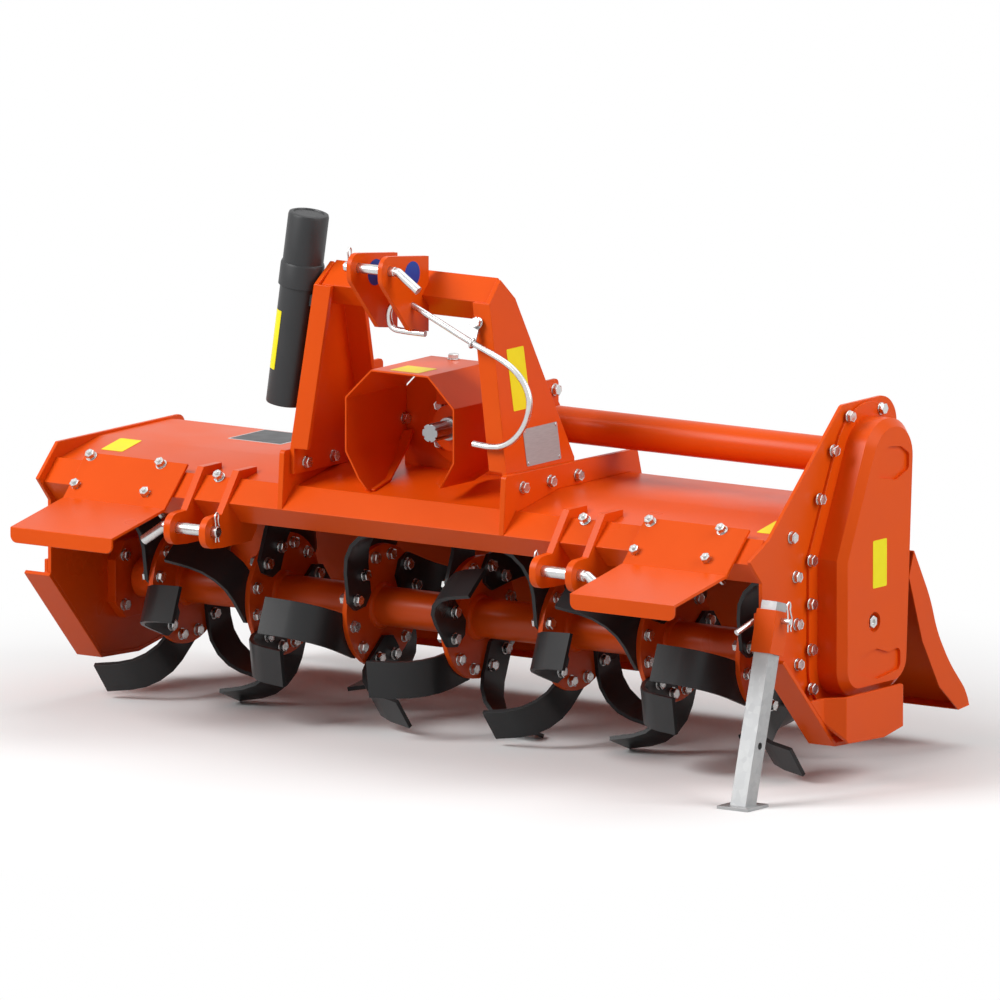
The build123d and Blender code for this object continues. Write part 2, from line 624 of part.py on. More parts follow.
def lower_bracket(side):
    """Clamp bracket with two ears for a lower link, round the front beam."""
    middle = side * LOWER_SPREAD / 2
    half = LOWER_GAP / 2
    nose = LOWER_PIN_Y - LOWER_NOSE
    ear = [(nose, 200, 27), (nose, 142, 27), (-300, 137.5), (-205, 137.5), (-187, 160), (-187, 278),
           (-246, 278), (-302, 202)]
    reach = half + 2 * LOWER_PLATE
    beam = across(diamond(BEAM_SIZE, BEAM_Y, BEAM_Z), middle - reach, middle + reach)
    play = LOWER_PIN_RADIUS + PIN_PLAY
    hole = facet_rod_x(play, LOWER_PIN_Y, LOWER_PIN_Z, middle - reach, middle + reach, PIN_SIDES)
    right_ear = across(ear, middle + half, middle + half + LOWER_PLATE)
    left_ear = across(ear, middle - half - LOWER_PLATE, middle - half)
    web = across([(-200, 170), (-187, 170), (-187, 212), (-200, 212)], middle - half, middle + half)
    return right_ear.fuse(left_ear, web) - beam - hole


def pin(radius, y, z, low, high, handle_side):
    """Draw pin along X with a bent handle on one end."""
    body = facet_rod_x(radius, y, z, low, high, PIN_SIDES)
    end = high if handle_side > 0 else low
    drop = radians(PIN_HANDLE_ANGLE)
    handle = bent_rod(radius * 0.6, [
        (end - handle_side * 12, y, z),
        (end + handle_side * 6, y, z),
        (end + handle_side * (6 + PIN_HANDLE * cos(drop)), y, z - PIN_HANDLE * sin(drop)),
    ])
    return body + handle


def hitch_pin(side):
    middle = side * LOWER_SPREAD / 2
    reach = LOWER_GAP / 2 + LOWER_PLATE + 12
    return pin(LOWER_PIN_RADIUS, LOWER_PIN_Y, LOWER_PIN_Z, middle - reach, middle + reach, side)


def top_link_pin():
    half = TOP_GAP / 2 + TOP_PLATE
    return pin(TOP_PIN_RADIUS, TOP_PIN_Y, TOP_PIN_Z, -half - 22, half + 12, 1)


def driveline_hook(radius=HOOK_RADIUS):
    """Bent rod that carries the PTO shaft when parked, held in the top bracket's ears."""
    face = TOP_GAP / 2 + TOP_PLATE
    bends = [(0, 0), (128, -56), (206, -85), (237, -105), (262, -134), (270, -168), (255, -210), (226, -243),
             (184, -257), (140, -252)]
    points = [(face + 27, -55), (0, -55), (-13, -45), (-13, -12), (0, 0)]
    points += [(face + dx, dz) for dx, dz in bends]
    return bent_rod(radius, [(x, HOOK_Y, HOOK_Z + dz) for x, dz in points])


# ---- guards, skids, stand ----

def clamp_plane(x):
    """Plane across the beam at x; its first axis points up and back, its second up and forward."""
    return Plane(origin=(x, BEAM_Y, BEAM_Z), x_dir=(0, 2 ** -0.5, 2 ** -0.5), z_dir=(1, 0, 0))


def clamp_bolt(x):
    """Square U-bolt round the beam; its legs point up and forward through the guard."""
    half = BEAM_SIZE / 2 + CLAMP_ROD_RADIUS + 0.1
    reach = BEAM_SIZE / 2 + GUARD_SHEET + 16
    corners = [(-half, reach), (-half, -half), (half, -half), (half, reach)]
    return bent_rod(CLAMP_ROD_RADIUS, [clamp_plane(x).from_local_coords((a, b, 0)) for a, b in corners])


def clamp_room(x):
    """Square room round the legs of a U-bolt."""
    half = BEAM_SIZE / 2 + CLAMP_ROD_RADIUS + 0.1
    width = 2 * (CLAMP_ROD_RADIUS + CLAMP_ROOM)
    leg = Box(width, 4 * BEAM_SIZE, width)
    return clamp_plane(x) * (Pos(-half, 0, 0) * leg + Pos(half, 0, 0) * leg)


def front_guard(low, high):
    """Bent sheet over the front of the rotor, clamped on the beam."""
    path = [(-234.5, 278), (-312, 201), (-484, 168), (-484, 138)]
    sheet = across(strip(path, GUARD_SHEET), low, high)
    for x in CLAMP_X:
        if low < x < high:
            sheet = sheet - clamp_room(x)
    return sheet


def guard_clamps():
    """U-bolts that hold the front guards on the beam."""
    return Compound([solid for x in CLAMP_X for solid in clamp_bolt(x).solids()])


def skid_sole(low, high):
    """Bent wear strip along the lower edge of an end plate."""
    return across(strip(plate_edge()[1:5], -SKID_PLATE), low, high)


def left_skid():
    """Wear strip with an upright wall on the outside of the left end plate."""
    wall = [(-258, 66), (-258, 41), *plate_edge()[2:5], (150, -80), (60, -60), (-60, 70)]
    return skid_sole(LEFT_INNER - SKID_WIDTH, LEFT_INNER) + across(wall, LEFT_OUTER - SKID_PLATE, LEFT_OUTER)


def right_skid():
    """Wear strip whose wall steps outwards round the foot of the drive case."""
    outline = [(-172, -50), *plate_edge()[2:5], (150, -80), (91, -50)]
    near = RIGHT_INNER + SKID_WIDTH - SKID_PLATE
    far = RIGHT_OUTER + CASE_DEPTH + SKID_PLATE
    plan = [(near, -262), (near, -125), (far, -92), (far, 91), (RIGHT_OUTER, 160)]
    wall = extrude(Plane.XY.offset(-200) * section(strip(plan, -SKID_PLATE)), 400)
    prism = across(outline, RIGHT_OUTER, RIGHT_OUTER + 200)
    return skid_sole(RIGHT_INNER, RIGHT_INNER + SKID_WIDTH) + (wall & prism)


def lean_tube(size, wall, low, high):
    """Square tube along the stand's leaning line; low and high are heights along it."""
    outer = extrude(Plane.XY.offset(low) * Rectangle(size, size), high - low)
    inner = extrude(Plane.XY.offset(low) * Rectangle(size - 2 * wall, size - 2 * wall), high - low)
    return Pos(STAND_X, STAND_Y, STAND_Z) * Rot(-STAND_LEAN, 0, 0) * (outer - inner)


def stand_sleeve():
    """Square sleeve on a bracket at the right end plate's front edge."""
    wall = (SLEEVE_SIZE - LEG_SIZE) / 2 - LEG_CLEARANCE
    side = [(-258, 60), (-258, 130), (-285, 130), (-285, 60)]
    bracket = across(side, RIGHT_OUTER, STAND_X - SLEEVE_SIZE / 2)
    return lean_tube(SLEEVE_SIZE, wall, -SLEEVE_LENGTH / 2, SLEEVE_LENGTH / 2) + bracket


def floor_z():
    """Height of the lowest tine corner, where the machine stands."""
    side = TINE_ROOT_RADIUS * sin(radians(TINE_SKEW_ANGLE)) + TINE_WIDTH / 2
    lead = degrees(asin(side / TIP_RADIUS)) - TINE_SKEW_ANGLE
    angles = [FIRST_ROOT_ANGLE + lead + FLANGE_STEP_ANGLE * step for step in range(12)]
    return min(TIP_RADIUS * sin(radians(angle)) for angle in angles)


def stand_leg():
    """Leg that slides in the sleeve, with a level foot and a cross hole to pin it when it is drawn up."""
    sole_z = floor_z()
    drop = STAND_Z - sole_z
    foot_y = STAND_Y - drop * tan(radians(STAND_LEAN))
    below = drop / cos(radians(STAND_LEAN)) + LEG_SIZE
    leg = lean_tube(LEG_SIZE, LEG_WALL, -below, SLEEVE_LENGTH / 2 + LEG_ABOVE)
    floor = Pos(STAND_X, foot_y, sole_z + STAND_FOOT_PLATE - 100) * Box(400, 400, 200)
    foot = Pos(STAND_X, foot_y, sole_z + STAND_FOOT_PLATE / 2) * Box(STAND_FOOT, STAND_FOOT, STAND_FOOT_PLATE)
    hole_y = STAND_Y - (STAND_Z - STAND_HOLE_Z) * tan(radians(STAND_LEAN))
    hole = facet_rod_x(STAND_HOLE_RADIUS, hole_y, STAND_HOLE_Z, STAND_X - LEG_SIZE, STAND_X + LEG_SIZE, 16)
    return leg - floor - hole + foot


def canister():
    """Tube for the papers, its long cap banded at the joint, on two blocks beside the left upright."""
    centre = CANISTER_RADIUS + CANISTER_STANDOFF
    top = CANISTER_LIFT + CANISTER_LENGTH
    shape = Pos(centre, 0, CANISTER_LIFT) * extrude(RegularPolygon(CANISTER_RADIUS, 36), CANISTER_LENGTH)
    band = extrude(RegularPolygon(CANISTER_RADIUS + CANISTER_BAND_RIM, 36), CANISTER_BAND)
    shape += Pos(centre, 0, top - CANISTER_CAP - CANISTER_BAND) * band
    for height in (130, 285):
        shape += Pos(CANISTER_STANDOFF * 0.7, 0, height) * Box(CANISTER_STANDOFF * 1.4, 30, 24)
    lean = Rot(0, MAST_SPLAY, 0) * mirror(shape, about=Plane.YZ)
    return Pos(-MAST_FOLD_X, -218, MAST_FOLD_Z) * lean


def parts():
    return {
        "front_beam": front_beam(),
        "hood": hood(),
        "left_end_plate": left_end_plate(),
        "right_end_plate": right_end_plate(),
        "left_bearing": bearing(LEFT_INNER, 1),
        "right_bearing": bearing(RIGHT_INNER, -1),
        "rotor": rotor(),
        "tailboard": tailboard(),
        "tailboard_hinge": tailboard_hinge(),
        "gearbox": gearbox(),
        "input_shaft": input_shaft(),
        "drive_tube": drive_tube(),
        "side_drive_case": side_drive_case(),
        "pto_guard": pto_guard(),
        "mast_left": upright(-1),
        "mast_right": upright(1),
        "mast_crossbar": mast_crossbar(),
        "foot_plate_left": foot_plate(-1),
        "foot_plate_right": foot_plate(1),
        "top_link_bracket": top_link_bracket(),
        "top_link_pin": top_link_pin(),
        "lower_bracket_left": lower_bracket(-1),
        "lower_bracket_right": lower_bracket(1),
        "hitch_pin_left": hitch_pin(-1),
        "hitch_pin_right": hitch_pin(1),
        "driveline_hook": driveline_hook(),
        "front_guard_left": front_guard(*LEFT_GUARD_X),
        "front_guard_right": front_guard(*RIGHT_GUARD_X),
        "guard_clamps": guard_clamps(),
        "left_skid": left_skid(),
        "right_skid": right_skid(),
        "stand_sleeve": stand_sleeve(),
        "stand_leg": stand_leg(),
        "canister": canister(),
    }


def origin_of(named):
    """Point on the floor under the middle of the machine, in the layout's own place."""
    box = Compound(list(named.values())).bounding_box()
    return Vector(box.center().X, box.center().Y, box.min.Z)


def main():
    os.makedirs("parts", exist_ok=True)
    named = parts()
    to_floor = Location(-origin_of(named))
    for name, shape in named.items():
        export_step(to_floor * shape, f"parts/{name}.step")


if __name__ == "__main__":
    main()
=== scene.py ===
import json
import math

import bpy
from mathutils import Matrix, Vector


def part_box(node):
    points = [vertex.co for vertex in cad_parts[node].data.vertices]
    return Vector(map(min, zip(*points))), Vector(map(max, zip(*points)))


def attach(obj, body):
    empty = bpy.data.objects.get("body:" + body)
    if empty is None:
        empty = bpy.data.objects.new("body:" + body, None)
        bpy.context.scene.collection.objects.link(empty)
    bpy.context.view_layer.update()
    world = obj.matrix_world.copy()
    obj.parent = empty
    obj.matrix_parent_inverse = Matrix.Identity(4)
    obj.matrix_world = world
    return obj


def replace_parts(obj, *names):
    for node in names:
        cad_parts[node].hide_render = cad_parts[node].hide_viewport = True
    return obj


# Dresses the tractor-mounted rotary tiller: enamel, bright fastenings, clips, labels and the studio.
# +Z is up, +X is the drive case's side, -Y is towards the tractor. The scene is in metres; sizes below are in
# millimetres, and at() turns a place in them into the scene's.

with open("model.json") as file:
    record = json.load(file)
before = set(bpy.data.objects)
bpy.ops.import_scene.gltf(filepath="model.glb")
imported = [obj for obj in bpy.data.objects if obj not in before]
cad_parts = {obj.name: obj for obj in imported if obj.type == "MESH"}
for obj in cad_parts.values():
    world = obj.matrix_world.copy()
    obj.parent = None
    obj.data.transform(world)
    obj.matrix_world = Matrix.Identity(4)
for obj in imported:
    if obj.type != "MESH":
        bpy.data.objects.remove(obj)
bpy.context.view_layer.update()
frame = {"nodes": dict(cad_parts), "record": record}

# ---- what the record says ----
RECORD = frame["record"]
JOINTS = {joint["name"]: joint for joint in RECORD["behaviour"]["joints"]}
BODY_OF = {node: body for body, nodes in RECORD["behaviour"]["bodies"].items() for node in nodes}

# ---- places read from the frame ----
HUB = Vector(JOINTS["rotor_spin"]["pos_m"])


def at(x, y, z):
    """Point given in millimetres from the rotor's axis and the hitch's centre plane."""
    return HUB + Vector((x, y, z)) / 1000


def edge(node, axis, side):
    """Coordinate of a node's box face, in millimetres from the hub; side 0 is the low one."""
    return (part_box(node)[side][axis] - HUB[axis]) * 1000


RIGHT_PLATE_FACE = edge("right_end_plate", 0, 1)
LEFT_PLATE_FACE = edge("left_end_plate", 0, 0)
CASE_FACE = edge("side_drive_case", 0, 1)
HOOD_TOP = edge("hood", 2, 1)
FOOT_PLATE_FACE = edge("foot_plate_right", 0, 1)
GUARD_TOP = edge("pto_guard", 2, 1)

# ---- rotor, with its angles in degrees about its axis ----
FLANGE_COUNT = 7
FLANGE_PITCH = 226.5
FLANGE_MIDDLE_X = 5.9
FLANGE_HALF = 5.0
FLANGE_RADIUS = 118.0
ROTOR_TUBE_RADIUS = 38.0
TINE_PLATE = 8.0
TINES_PER_FLANGE = 6
FIRST_ROOT_ANGLE = 270.9
FLANGE_STEP_ANGLE = 30.0
BOLT_CIRCLE = 99.5
BOLT_SPREAD_ANGLE = 15.0


def flange_x(flange):
    """X of a rotor flange's middle plane; flanges count from the left."""
    return FLANGE_MIDDLE_X + FLANGE_PITCH * (flange - (FLANGE_COUNT - 1) / 2)


# ---- front beam, its guards and the hood's front slope ----
BEAM_Y = -239.0
BEAM_Z = 220.0
BEAM_HALF = 30.0
FRONT_GUARDS = ("front_guard_left", "front_guard_right")
GUARD_SHEET = 6.0
GUARD_CORNER = 14.0
CLAMP_INSET = 16.0
CLAMP_PITCH = 163.0
CLAMP_LEG = 35.1
CLAMP_END = 52.0
HOOD_FOLD_Y = -98.0
HOOD_SLOPE = 0.194

# ---- mast and hitch; a pair is (Y, Z) ----
MAST_FOLD_X = 250.0
MAST_FOLD_Z = 335.0
MAST_SPLAY = math.radians(8.4)
MAST_SHEET = 10.0
UPRIGHT_UP = (-math.sin(MAST_SPLAY), 0, math.cos(MAST_SPLAY))
UPRIGHT_OUT = (math.cos(MAST_SPLAY), 0, math.sin(MAST_SPLAY))
FOOT_BOLTS = ((-218, 304), (-128, 304), (-38, 303))
FOOT_NUT_Z = 304.0
REAR_LUG_BOLT = (207.0, -34.5, 461.0)
LOWER_SPREAD = 846.0
LOWER_PIN = (-330.0, 172.5)
LOWER_PIN_RADIUS = 11.0
LOWER_PIN_HALF = 60.5
TOP_PIN = (-337.0, 712.0)
TOP_PIN_RADIUS = 9.5
TOP_PIN_ENDS = (-63.0, 53.0)
PIN_HANDLE = 56.0
PIN_HANDLE_DROP = math.radians(34.0)
HOOK_Y = -264.0

# ---- canister, standing off the left upright ----
CANISTER_Y = -218.0
CANISTER_RADIUS = 38.0
CANISTER_STANDOFF = 9.0
CANISTER_BLOCK = 12.6
CANISTER_LABEL_TURN = math.radians(-123.0)

# ---- drive line ----
DRIVE_Z = 373.0
DRIVE_TUBE_Y = 83.0
DRIVE_TUBE_FLANGE = 14.0
INPUT_NOSE = 31.0
REAR_COVER = 5.0
GEARBOX_FOOT = 16.0
PTO_GUARD_SHEET = 4.0
CASE_RIM = 6.0
CASE_CHAMFER = 15.0
PRESSING_DEPTH = 6.0
LEVEL_PLUG = (21.7, 76.3)
PLUG_SEAT_RADIUS = 19.0
PLUG_SEAT_DEPTH = 12.0

# ---- stand, labels and small parts ----
STAND_PIN = (-267.0, 118.0)
CLIP_INSET = 7.0
LABEL_GAP = 0.15
DATA_PLATE_SHEET = 0.9

# ---- how the solids are shown ----
# How far edges are rounded: a plain plate's, and those of the solids that differ.
PLAIN_EDGE_WIDTH = 1.4
EDGE_WIDTH = {"gearbox": 3.0, "tailboard": 0.6, "hood": 1.0, "input_shaft": 0.5,
              "tailboard_hinge": 0.5, "stand_leg": 2.0, "stand_sleeve": 2.5, "rotor": 0.8}
# Edges that are rounded more: the axis they run along, spots on the two axes after it, and the reach.
SKIRT_BENDS = ((310, 74), (333, 7), (374, -58), (436, -126))
ROUND_CORNERS = {"tailboard": [(0, SKIRT_BENDS, 26)]}
for guard_node in FRONT_GUARDS:
    lip = edge(guard_node, 2, 0)
    lip_corners = [(lip, edge(guard_node, 0, side)) for side in (0, 1)]
    ROUND_CORNERS[guard_node] = [(1, lip_corners, GUARD_CORNER)]
# Solids that a piece of their own stands for.
OWN_SHAPE = ("driveline_hook", "guard_clamps", "hitch_pin_left", "hitch_pin_right", "top_link_pin",
             "canister", "side_drive_case")

# ---- shapes ----


def deselect():
    """Clears the selection, so that the next operator acts on its own piece alone."""
    bpy.ops.object.select_all(action="DESELECT")


def pick(*objects):
    """Selects these objects alone; the last one is active."""
    deselect()
    for piece in objects:
        piece.select_set(True)
    bpy.context.view_layer.objects.active = objects[-1]


def new_object(name, data):
    """New object with this data, put in the scene."""
    piece = bpy.data.objects.new(name, data)
    bpy.context.scene.collection.objects.link(piece)
    return piece


def settle(piece, smooth_angle=35):
    """Puts a piece's place into its mesh, with its origin on the frame's."""
    pick(piece)
    bpy.ops.object.transform_apply(location=True, rotation=True, scale=True)
    bpy.ops.object.shade_smooth_by_angle(angle=math.radians(smooth_angle))
    return piece


def faces_where(piece, test):
    """Selects in edit mode the faces whose centre and normal pass a test."""
    bpy.ops.mesh.select_all(action="DESELECT")
    bpy.ops.object.mode_set(mode="OBJECT")
    for face in piece.data.polygons:
        face.select = test(face.center, face.normal)
    bpy.ops.object.mode_set(mode="EDIT")


def turned(profile, sides=48):
    """Round closed piece about the upright axis, from (radius, height) steps in millimetres."""
    deselect()
    radius, height = profile[0]
    bpy.ops.mesh.primitive_circle_add(
        vertices=sides, radius=radius / 1000, fill_type="NGON", location=(0, 0, height / 1000)
    )
    piece = settle(bpy.context.object)
    bpy.ops.object.mode_set(mode="EDIT")
    bpy.ops.mesh.select_mode(type="FACE")
    bpy.ops.mesh.select_all(action="SELECT")
    for next_radius, next_height in profile[1:]:
        rise = (0, 0, (next_height - height) / 1000)
        bpy.ops.mesh.extrude_region_move(TRANSFORM_OT_translate={"value": rise})
        grow = next_radius / radius
        bpy.ops.transform.resize(value=(grow, grow, 1), center_override=(0, 0, 0))
        radius, height = next_radius, next_height
    bpy.ops.mesh.select_all(action="SELECT")
    bpy.ops.mesh.normals_make_consistent(inside=False)
    bpy.ops.object.mode_set(mode="OBJECT")
    return settle(piece)


def disc(radius, low, high, sides, bevel):
    """Upright disc from height low to high, its rims bevelled, in millimetres."""
    return turned([(radius - bevel, low), (radius, low + bevel), (radius, high - bevel),
                   (radius - bevel, high)], sides)


def bent_tube(name, points, radius, corner=0.0, rings=5):
    """Round bar along points in metres; radius and corner, the reach of each bend's turn, in millimetres."""
    route = [Vector(points[0])]
    for before, bend, after in zip(points, points[1:], points[2:]):
        bend = Vector(bend)
        if corner:
            route.append(bend + (Vector(before) - bend).normalized() * corner / 1000)
        route.append(bend)
        if corner:
            route.append(bend + (Vector(after) - bend).normalized() * corner / 1000)
    route.append(Vector(points[-1]))
    curve = bpy.data.curves.new(name, "CURVE")
    curve.dimensions = "3D"
    curve.bevel_depth = radius / 1000
    curve.bevel_resolution = rings
    curve.use_fill_caps = True
    curve.resolution_u = 6
    spline = curve.splines.new("NURBS")
    spline.points.add(len(route) - 1)
    for point, place in zip(spline.points, route):
        point.co = (*place, 1)
    spline.order_u = 3
    spline.use_endpoint_u = True
    pick(new_object(name, curve))
    bpy.ops.object.convert(target="MESH")
    return settle(bpy.context.object, 60)


def rounded(node, width):
    """Copy of a node's solid, its faces merged and its edges rounded, that stands for the node."""
    piece = new_object(node + "_rounded", frame["nodes"][node].data.copy())
    pick(piece)
    bpy.ops.mesh.customdata_custom_splitnormals_clear()
    bpy.ops.object.mode_set(mode="EDIT")
    bpy.ops.mesh.select_all(action="SELECT")
    bpy.ops.mesh.remove_doubles(threshold=0.00002)
    bpy.ops.mesh.dissolve_limited(angle_limit=math.radians(1))
    bpy.ops.object.mode_set(mode="OBJECT")
    for axis, spots, reach in ROUND_CORNERS.get(node, ()):
        round_corners(piece, axis, spots, reach)
    soften(piece, width, 32)
    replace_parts(piece, node)
    return piece


def round_corners(piece, axis, spots, reach):
    """Rounds the edges along an axis that stand within 4 mm of the given spots on the two axes after it."""
    pick(piece)
    bpy.ops.object.mode_set(mode="EDIT")
    bpy.ops.mesh.select_mode(type="EDGE")
    bpy.ops.mesh.select_all(action="DESELECT")
    bpy.ops.object.mode_set(mode="OBJECT")
    vertices = piece.data.vertices
    for line in piece.data.edges:
        start, end = (vertices[index].co for index in line.vertices)
        along = abs((end - start)[axis])
        place = (start - HUB) * 1000
        near = any(abs(place[axis - 2] - first) < 4 and abs(place[axis - 1] - second) < 4
                   for first, second in spots)
        line.select = near and along > 0.99 * (end - start).length
    bpy.ops.object.mode_set(mode="EDIT")
    bpy.ops.mesh.bevel(offset=reach / 1000, segments=6, affect="EDGES")
    bpy.ops.object.mode_set(mode="OBJECT")


def soften(piece, width, angle):
    """Rounds a piece's edges and shades its flats evenly."""
    pick(piece)
    bevel = piece.modifiers.new("rounded_edges", "BEVEL")
    bevel.width = width / 1000
    bevel.segments = 3
    bevel.limit_method = "ANGLE"
    bevel.angle_limit = math.radians(angle)
    even = piece.modifiers.new("even_shading", "WEIGHTED_NORMAL")
    even.keep_sharp = True
    bpy.ops.object.shade_smooth()
    bpy.ops.object.modifier_apply(modifier=bevel.name)
    bpy.ops.object.modifier_apply(modifier=even.name)
    return piece


def outline_plate(name, corners, low_x, high_x):
    """Plate across X from corners given as (Y, Z) or (Y, Z, radius), in millimetres."""
    spots = [at(low_x, corner[0], corner[1]) for corner in corners]
    mesh = bpy.data.meshes.new(name)
    mesh.from_pydata(spots, [], [list(range(len(spots)))])
    piece = new_object(name, mesh)
    pick(piece)
    for index, corner in enumerate(corners):
        if len(corner) < 3:
            continue
        spot = spots[index]
        before = spots[index - 1] - spot
        after = spots[(index + 1) % len(spots)] - spot
        reach = corner[2] / 1000 / math.tan(before.angle(after) / 2)
        bpy.ops.object.mode_set(mode="EDIT")
        bpy.ops.mesh.select_mode(type="VERT")
        bpy.ops.mesh.select_all(action="DESELECT")
        bpy.ops.object.mode_set(mode="OBJECT")
        for vertex in mesh.vertices:
            vertex.select = (vertex.co - spot).length < 0.00001
        bpy.ops.object.mode_set(mode="EDIT")
        bpy.ops.mesh.bevel(offset=reach, segments=10, affect="VERTICES")
        bpy.ops.object.mode_set(mode="OBJECT")
    bpy.ops.object.mode_set(mode="EDIT")
    bpy.ops.mesh.select_mode(type="FACE")
    bpy.ops.mesh.select_all(action="SELECT")
    bpy.ops.mesh.extrude_region_move(TRANSFORM_OT_translate={"value": ((high_x - low_x) / 1000, 0, 0)})
    bpy.ops.mesh.select_all(action="SELECT")
    bpy.ops.mesh.normals_make_consistent(inside=False)
    bpy.ops.object.mode_set(mode="OBJECT")
    return piece


def cut_away(piece, cutter):
    """Takes a cutter's room out of a piece."""
    cut = piece.modifiers.new("cut", "BOOLEAN")
    cut.object = cutter
    cut.operation = "DIFFERENCE"
    pick(piece)
    bpy.ops.object.modifier_apply(modifier=cut.name)
    bpy.data.objects.remove(cutter)


def block(size, place):
    """Small block with rounded edges, in millimetres."""
    deselect()
    bpy.ops.mesh.primitive_cube_add(size=1, location=Vector(place) / 1000)
    piece = bpy.context.object
    piece.scale = Vector(size) / 1000
    settle(piece)
    bevel = piece.modifiers.new("rounded_edges", "BEVEL")
    bevel.width = 0.0015
    bevel.segments = 2
    bpy.ops.object.modifier_apply(modifier=bevel.name)
    return piece


def joined(pieces, name):
    """One piece from several."""
    pick(*pieces)
    if len(pieces) > 1:
        bpy.ops.object.join()
    piece = bpy.context.object
    piece.name = name
    piece.data.name = name
    return piece


def bolt_head(across_flats):
    """Hex head on a washer, seated at height 0 and standing up; its sizes follow its width across flats."""
    corner = across_flats / 2 / math.cos(math.pi / 6)
    washer = disc(across_flats * 0.62, 0, across_flats * 0.11, 24, across_flats * 0.025)
    head = disc(corner, across_flats * 0.11, across_flats * 0.58, 6, across_flats * 0.06)
    pick(head)
    bpy.ops.object.mode_set(mode="EDIT")
    faces_where(head, lambda centre, normal: normal.z > 0.9)
    bpy.ops.mesh.inset(thickness=across_flats * 0.08 / 1000, depth=-across_flats * 0.02 / 1000)
    bpy.ops.object.mode_set(mode="OBJECT")
    return joined([washer, head], "bolt_head")


def nut_on_stud(across_flats, stand_out):
    """Washer, hex nut and the end of its stud, which stands out from the seat at height 0."""
    corner = across_flats / 2 / math.cos(math.pi / 6)
    washer = disc(across_flats * 0.68, 0, across_flats * 0.12, 24, across_flats * 0.03)
    nut = disc(corner, across_flats * 0.12, across_flats * 0.82, 6, across_flats * 0.07)
    stud = disc(across_flats * 0.27, 0, stand_out, 16, across_flats * 0.06)
    return joined([washer, nut, stud], "nut_on_stud")


def r_clip():
    """Spring clip: a straight leg down through the pin, a loop on top and a waved leg round the pin."""
    wave = [(0, -20), (0, 0), (0, 18), (-3, 27), (0, 35), (6, 37), (10, 30), (7, 20), (12, 9), (13.5, 0),
            (12, -8), (7, -14), (11, -20)]
    return bent_tube("r_clip", [(across / 1000, 0, up / 1000) for across, up in wave], 1.7, rings=2)


def standing(place, normal, turn=0.0):
    """Matrix that stands a piece on a place with its up axis along a normal, turned about it."""
    upright = Vector(normal).to_track_quat("Z", "Y").to_matrix().to_4x4()
    return Matrix.Translation(place) @ upright @ Matrix.Rotation(turn, 4, "Z")


def copies(template, places, name):
    """Copies of a template at these matrices, each with its own mesh, joined in one piece."""
    made = []
    for matrix in places:
        copy = new_object(name, template.data.copy())
        copy.data.transform(matrix)
        made.append(copy)
    return joined(made, name)


def finish(piece, material, body="frame"):
    """Gives a finished piece its material and its body."""
    piece.data.materials.clear()
    piece.data.materials.append(material)
    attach(piece, body)
    return piece


def label(name, corner, along, up, width, height, radius, material, thickness=0.35):
    """Thin plate with round corners; corner is its lower left point, along and up are its directions."""
    along = Vector(along).normalized()
    up = Vector(up).normalized()
    normal = along.cross(up)
    deselect()
    bpy.ops.mesh.primitive_plane_add(size=1)
    piece = bpy.context.object
    piece.scale = (width / 1000, height / 1000, 1)
    settle(piece)
    bpy.ops.object.mode_set(mode="EDIT")
    bpy.ops.mesh.select_all(action="SELECT")
    bpy.ops.mesh.bevel(offset=radius / 1000, segments=5, affect="VERTICES")
    bpy.ops.mesh.extrude_region_move(TRANSFORM_OT_translate={"value": (0, 0, thickness / 1000)})
    bpy.ops.mesh.select_all(action="SELECT")
    bpy.ops.mesh.normals_make_consistent(inside=False)
    bpy.ops.object.mode_set(mode="OBJECT")
    axes = Matrix((along, up, normal)).transposed().to_4x4()
    middle = Vector(corner) + along * width / 2000 + up * height / 2000
    piece.data.transform(Matrix.Translation(middle + normal * LABEL_GAP / 1000) @ axes)
    piece.name = name
    piece.data.name = name
    pick(piece)
    bpy.ops.object.shade_smooth_by_angle(angle=math.radians(30))
    finish(piece, material)


# ---- materials ----


def colour(code):
    """Linear colour of an sRGB hex value."""
    channels = [int(code[start:start + 2], 16) / 255 for start in (1, 3, 5)]
    linear = [c / 12.92 if c <= 0.04045 else ((c + 0.055) / 1.055) ** 2.4 for c in channels]
    return (*linear, 1.0)


def add_node(tree, kind, settings=None, links=None, stops=None, **attributes):
    """Adds a node with its attributes, socket values, incoming links and colour stops."""
    node = tree.nodes.new(kind)
    for name, value in attributes.items():
        setattr(node, name, value)
    for socket, value in (settings or {}).items():
        node.inputs[socket].default_value = value
    for socket, source in (links or {}).items():
        tree.links.new(source, node.inputs[socket])
    if stops:
        band = node.color_ramp
        while len(band.elements) < len(stops):
            band.elements.new(0.5)
        for element, (position, value) in zip(band.elements, stops):
            element.position = position
            element.color = colour(value) if isinstance(value, str) else (value, value, value, 1)
    return node


def start_material(name, **surface):
    """A material with its Principled settings; returns it, its tree, its shader and Object coordinates."""
    material = bpy.data.materials.new(name)
    material.use_nodes = True
    tree = material.node_tree
    shader = tree.nodes["Principled BSDF"]
    for socket, value in surface.items():
        shader.inputs[socket.replace("_", " ")].default_value = value
    place = add_node(tree, "ShaderNodeTexCoord").outputs["Object"]
    return material, tree, shader, place


def tint_and_gloss(tree, shader, tint_by, tints, gloss_by, glosses):
    """Lets one pattern choose the colour, and one the roughness, between their stops."""
    for socket, pattern, stops in (("Base Color", tint_by, tints), ("Roughness", gloss_by, glosses)):
        band = add_node(tree, "ShaderNodeValToRGB", links={"Fac": pattern}, stops=stops)
        tree.links.new(band.outputs["Color"], shader.inputs[socket])


